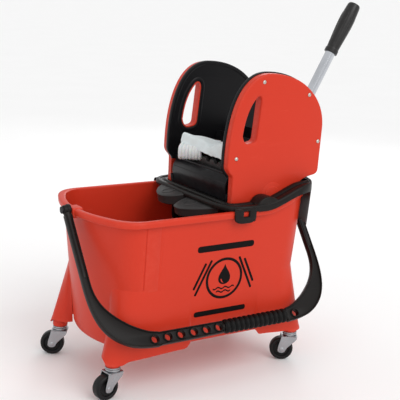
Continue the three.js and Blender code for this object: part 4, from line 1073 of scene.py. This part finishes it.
KEPT = {
    "bail_pin_front": PIN, "bail_pin_rear": PIN, "lever_shaft": ZINC, "press_shaft": ZINC,
    "lever_bush": BUSH, "press_bush_near": BUSH, "press_bush_far": BUSH,
    "lever_gear": IRON, "press_gear": IRON, "back_plate": LINER, "gear_guard": LINER,
}
for node, material in KEPT.items():
    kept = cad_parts[node]
    kept.data.materials.clear()
    kept.data.materials.append(material)
    kept.data.shade_smooth()
    kept.data.set_sharp_from_angle(angle=radians(32))
    edge = kept.modifiers.new("edges", "BEVEL")
    edge.width = 0.0005
    edge.segments = 2
    edge.limit_method = "ANGLE"
    edge.angle_limit = radians(38)
    edge.harden_normals = True

# ---- mop head

def make_mop():
    rng = random.Random(7)
    yarn = Shape()
    # Strands lie across the mouth under the band.
    for layer in range(2):
        for i in range(20):
            y = -66 + 6.8 * (i + 0.5 * layer)
            lift = 437.5 + layer * 6 + rng.uniform(-0.8, 0.8)
            back = 130 - rng.uniform(0, 8)
            ahead = 58 + rng.uniform(-3, 3)
            path = []
            for k in range(15):
                t = k / 14
                path.append((back + (ahead - back) * t, y + 1.6 * sin(t * 6 + i * 1.3),
                             lift + 3 * sin(pi * t)))
            yarn.tube(path, [3.3 * (0.82 + 0.18 * sin(pi * k / 14) ** 0.5) for k in range(15)], 10)
    # A bundle folds over the trough's lip at the far side: each strand runs out, turns down and
    # comes back below itself. The row faces forward and to the near side.
    first, last = Vector((25, 49)), Vector((55, 20))
    across = (last - first).normalized()
    outward = Vector((across.y, -across.x))
    if outward.x > 0:
        outward = -outward
    for i in range(7):
        t = i / 6
        root = first.lerp(last, t) - outward * 3
        reach = 9.5 + rng.uniform(-0.7, 0.7) - 2.5 * t
        high = 442.5 - 3.0 * t + rng.uniform(-0.5, 0.5)
        low = 418.6 + 1.5 * t + rng.uniform(-0.5, 0.5)
        corners = [(-26, high + 3), (-12, high + 2.4), (0, high + 0.6), (reach - 2.5, high - 2.2),
                   (reach, high - 7), (reach + 0.4, (high + low) / 2), (reach - 0.2, low + 6),
                   (reach - 3, low + 1.2), (-1, low), (-9, low + 1.5)]
        path = [(root.x + outward.x * d, root.y + outward.y * d, z) for d, z in corners]
        yarn.tube(through(path, 4), 3.9, 14)
    build("mop_strands", yarn, COTTON, "mop", ["mop_yarn"], 60)

    # The band: a strip of cloth draped over the strands. Each row runs from its front hem up over
    # the strands and back; the rows go from the far corner, which stands up, to the near panel.
    rows = [
        [(33, 60, 444), (32, 60, 455), (37, 58, 469), (56, 54, 464), (80, 52, 459), (108, 50, 450)],
        [(37, 46, 441), (40, 45, 452), (46, 43, 463.5), (62, 42, 462), (84, 41, 459), (110, 40, 449)],
        [(44, 32, 439.5), (47, 31, 450), (53, 29, 460.5), (68, 28, 460), (88, 28, 457), (111, 28, 448)],
        [(49, 14, 437), (52, 14, 445), (59, 12, 455), (72, 12, 456), (90, 12, 453), (112, 12, 446)],
        [(50, -4, 436), (54, -4, 441.5), (63, -3, 448.5), (75, -3, 450), (92, -3, 449), (112, -4, 445)],
        [(50, -22, 435.5), (54, -22, 443.5), (64, -21, 455), (76, -20, 456), (92, -20, 453), (112, -20, 446)],
        [(49.5, -42, 435.5), (53, -42, 446), (62, -40, 458.5), (76, -39, 459.5), (93, -38, 456),
         (112, -38, 447)],
        [(49.5, -66, 435), (53, -66, 446), (62, -66, 459), (76, -66, 459), (93, -66, 455), (111, -66, 447)],
    ]
    rows = [through(row, 6) for row in rows]
    columns = [through([row[k] for row in rows], 6) for k in range(len(rows[0]))]
    band = Shape()
    grid = []
    for i in range(len(columns[0])):
        row = []
        for k, column in enumerate(columns):
            x, y, z = column[i]
            ripple = 0.7 * sin(y * 0.31 + k * 0.35) + 0.5 * sin(y * 0.13 - k * 0.6 + 1.7)
            row.append((x - ripple * 0.5, y, z + ripple))
        grid.append(row)
    below = [[(x + 0.9, y, z - 1.3) for x, y, z in row] for row in grid]
    band.loft([row + other[::-1] for row, other in zip(grid, below)])
    tape = build("mop_tape", band, CANVAS, "mop", ["mop_band"], 50)


make_mop()

# ---- floor, light and camera

floor_mesh = bpy.data.meshes.new("floor")
floor_mesh.from_pydata([(-40, -40, 0), (40, -40, 0), (40, 40, 0), (-40, 40, 0)], [], [(0, 1, 2, 3)])
floor = add_object("floor", floor_mesh)
paper = Nodes("floor_paper")
paper.set(color=paper.mix(paper.noise(3, 3), (0.90, 0.90, 0.90), (0.93, 0.93, 0.93)), roughness=0.8,
          specular=0.2)
floor_mesh.materials.append(paper.material)


def add_light(name, kind, watts, aim, place=(0, 0, 0), **settings):
    """A lamp that shines from a place along a direction."""
    lamp = bpy.data.lights.new(name, kind)
    lamp.energy = watts
    for key, value in settings.items():
        setattr(lamp, key, value)
    holder = add_object(name, lamp)
    holder.location = place
    holder.rotation_mode = "QUATERNION"
    holder.rotation_quaternion = Vector(aim).to_track_quat("-Z", "Y")


def soft_light(name, place, target, size, watts):
    add_light(name, "AREA", watts, Vector(target) - Vector(place), place, shape="RECTANGLE",
              size=size[0], size_y=size[1])


CENTRE = (0.0, 0.0, 0.3)
add_light("key", "SUN", 1.1, (-0.12, 0.85, -0.75), angle=radians(40))
soft_light("fill", (-2.4, -1.6, 1.5), CENTRE, (1.0, 1.6), 5)
soft_light("rim", (1.4, 1.8, 1.6), CENTRE, (0.6, 1.6), 8)
soft_light("strip", at(-250, -1500, 740), at(240, -87, 600), (0.12, 0.9), 0.5)
world = bpy.data.worlds.new("studio")
world.use_nodes = True
world.node_tree.nodes["Background"].inputs["Color"].default_value = (1, 1, 1, 1)
world.node_tree.nodes["Background"].inputs["Strength"].default_value = 0.8
bpy.context.scene.world = world
bpy.context.scene.view_settings.view_transform = "Standard"


def make_camera():
    """The photograph's viewing angle: azimuth, elevation and a slight roll."""
    azimuth, elevation, roll = (radians(v) for v in (-32.9, 13.4, 2.6))
    back = Vector((sin(azimuth) * cos(elevation), -cos(azimuth) * cos(elevation),
                   sin(elevation)))
    right = (-back).cross(Vector((0, 0, 1))).normalized()
    up = back.cross(right)
    right, up = (right * cos(roll) + up * sin(roll), up * cos(roll) - right * sin(roll))
    camera = bpy.data.cameras.new("camera")
    camera.lens = 86.445
    camera.sensor_width = 36
    camera.clip_end = 200
    camera.shift_y = -0.002
    holder = add_object("camera", camera)
    holder.matrix_world = Matrix.Translation(at(-1004.7, -1625.0, 799.2)) @ Matrix(
        (right, up, back)).transposed().to_4x4()
    bpy.context.scene.camera = holder


make_camera()
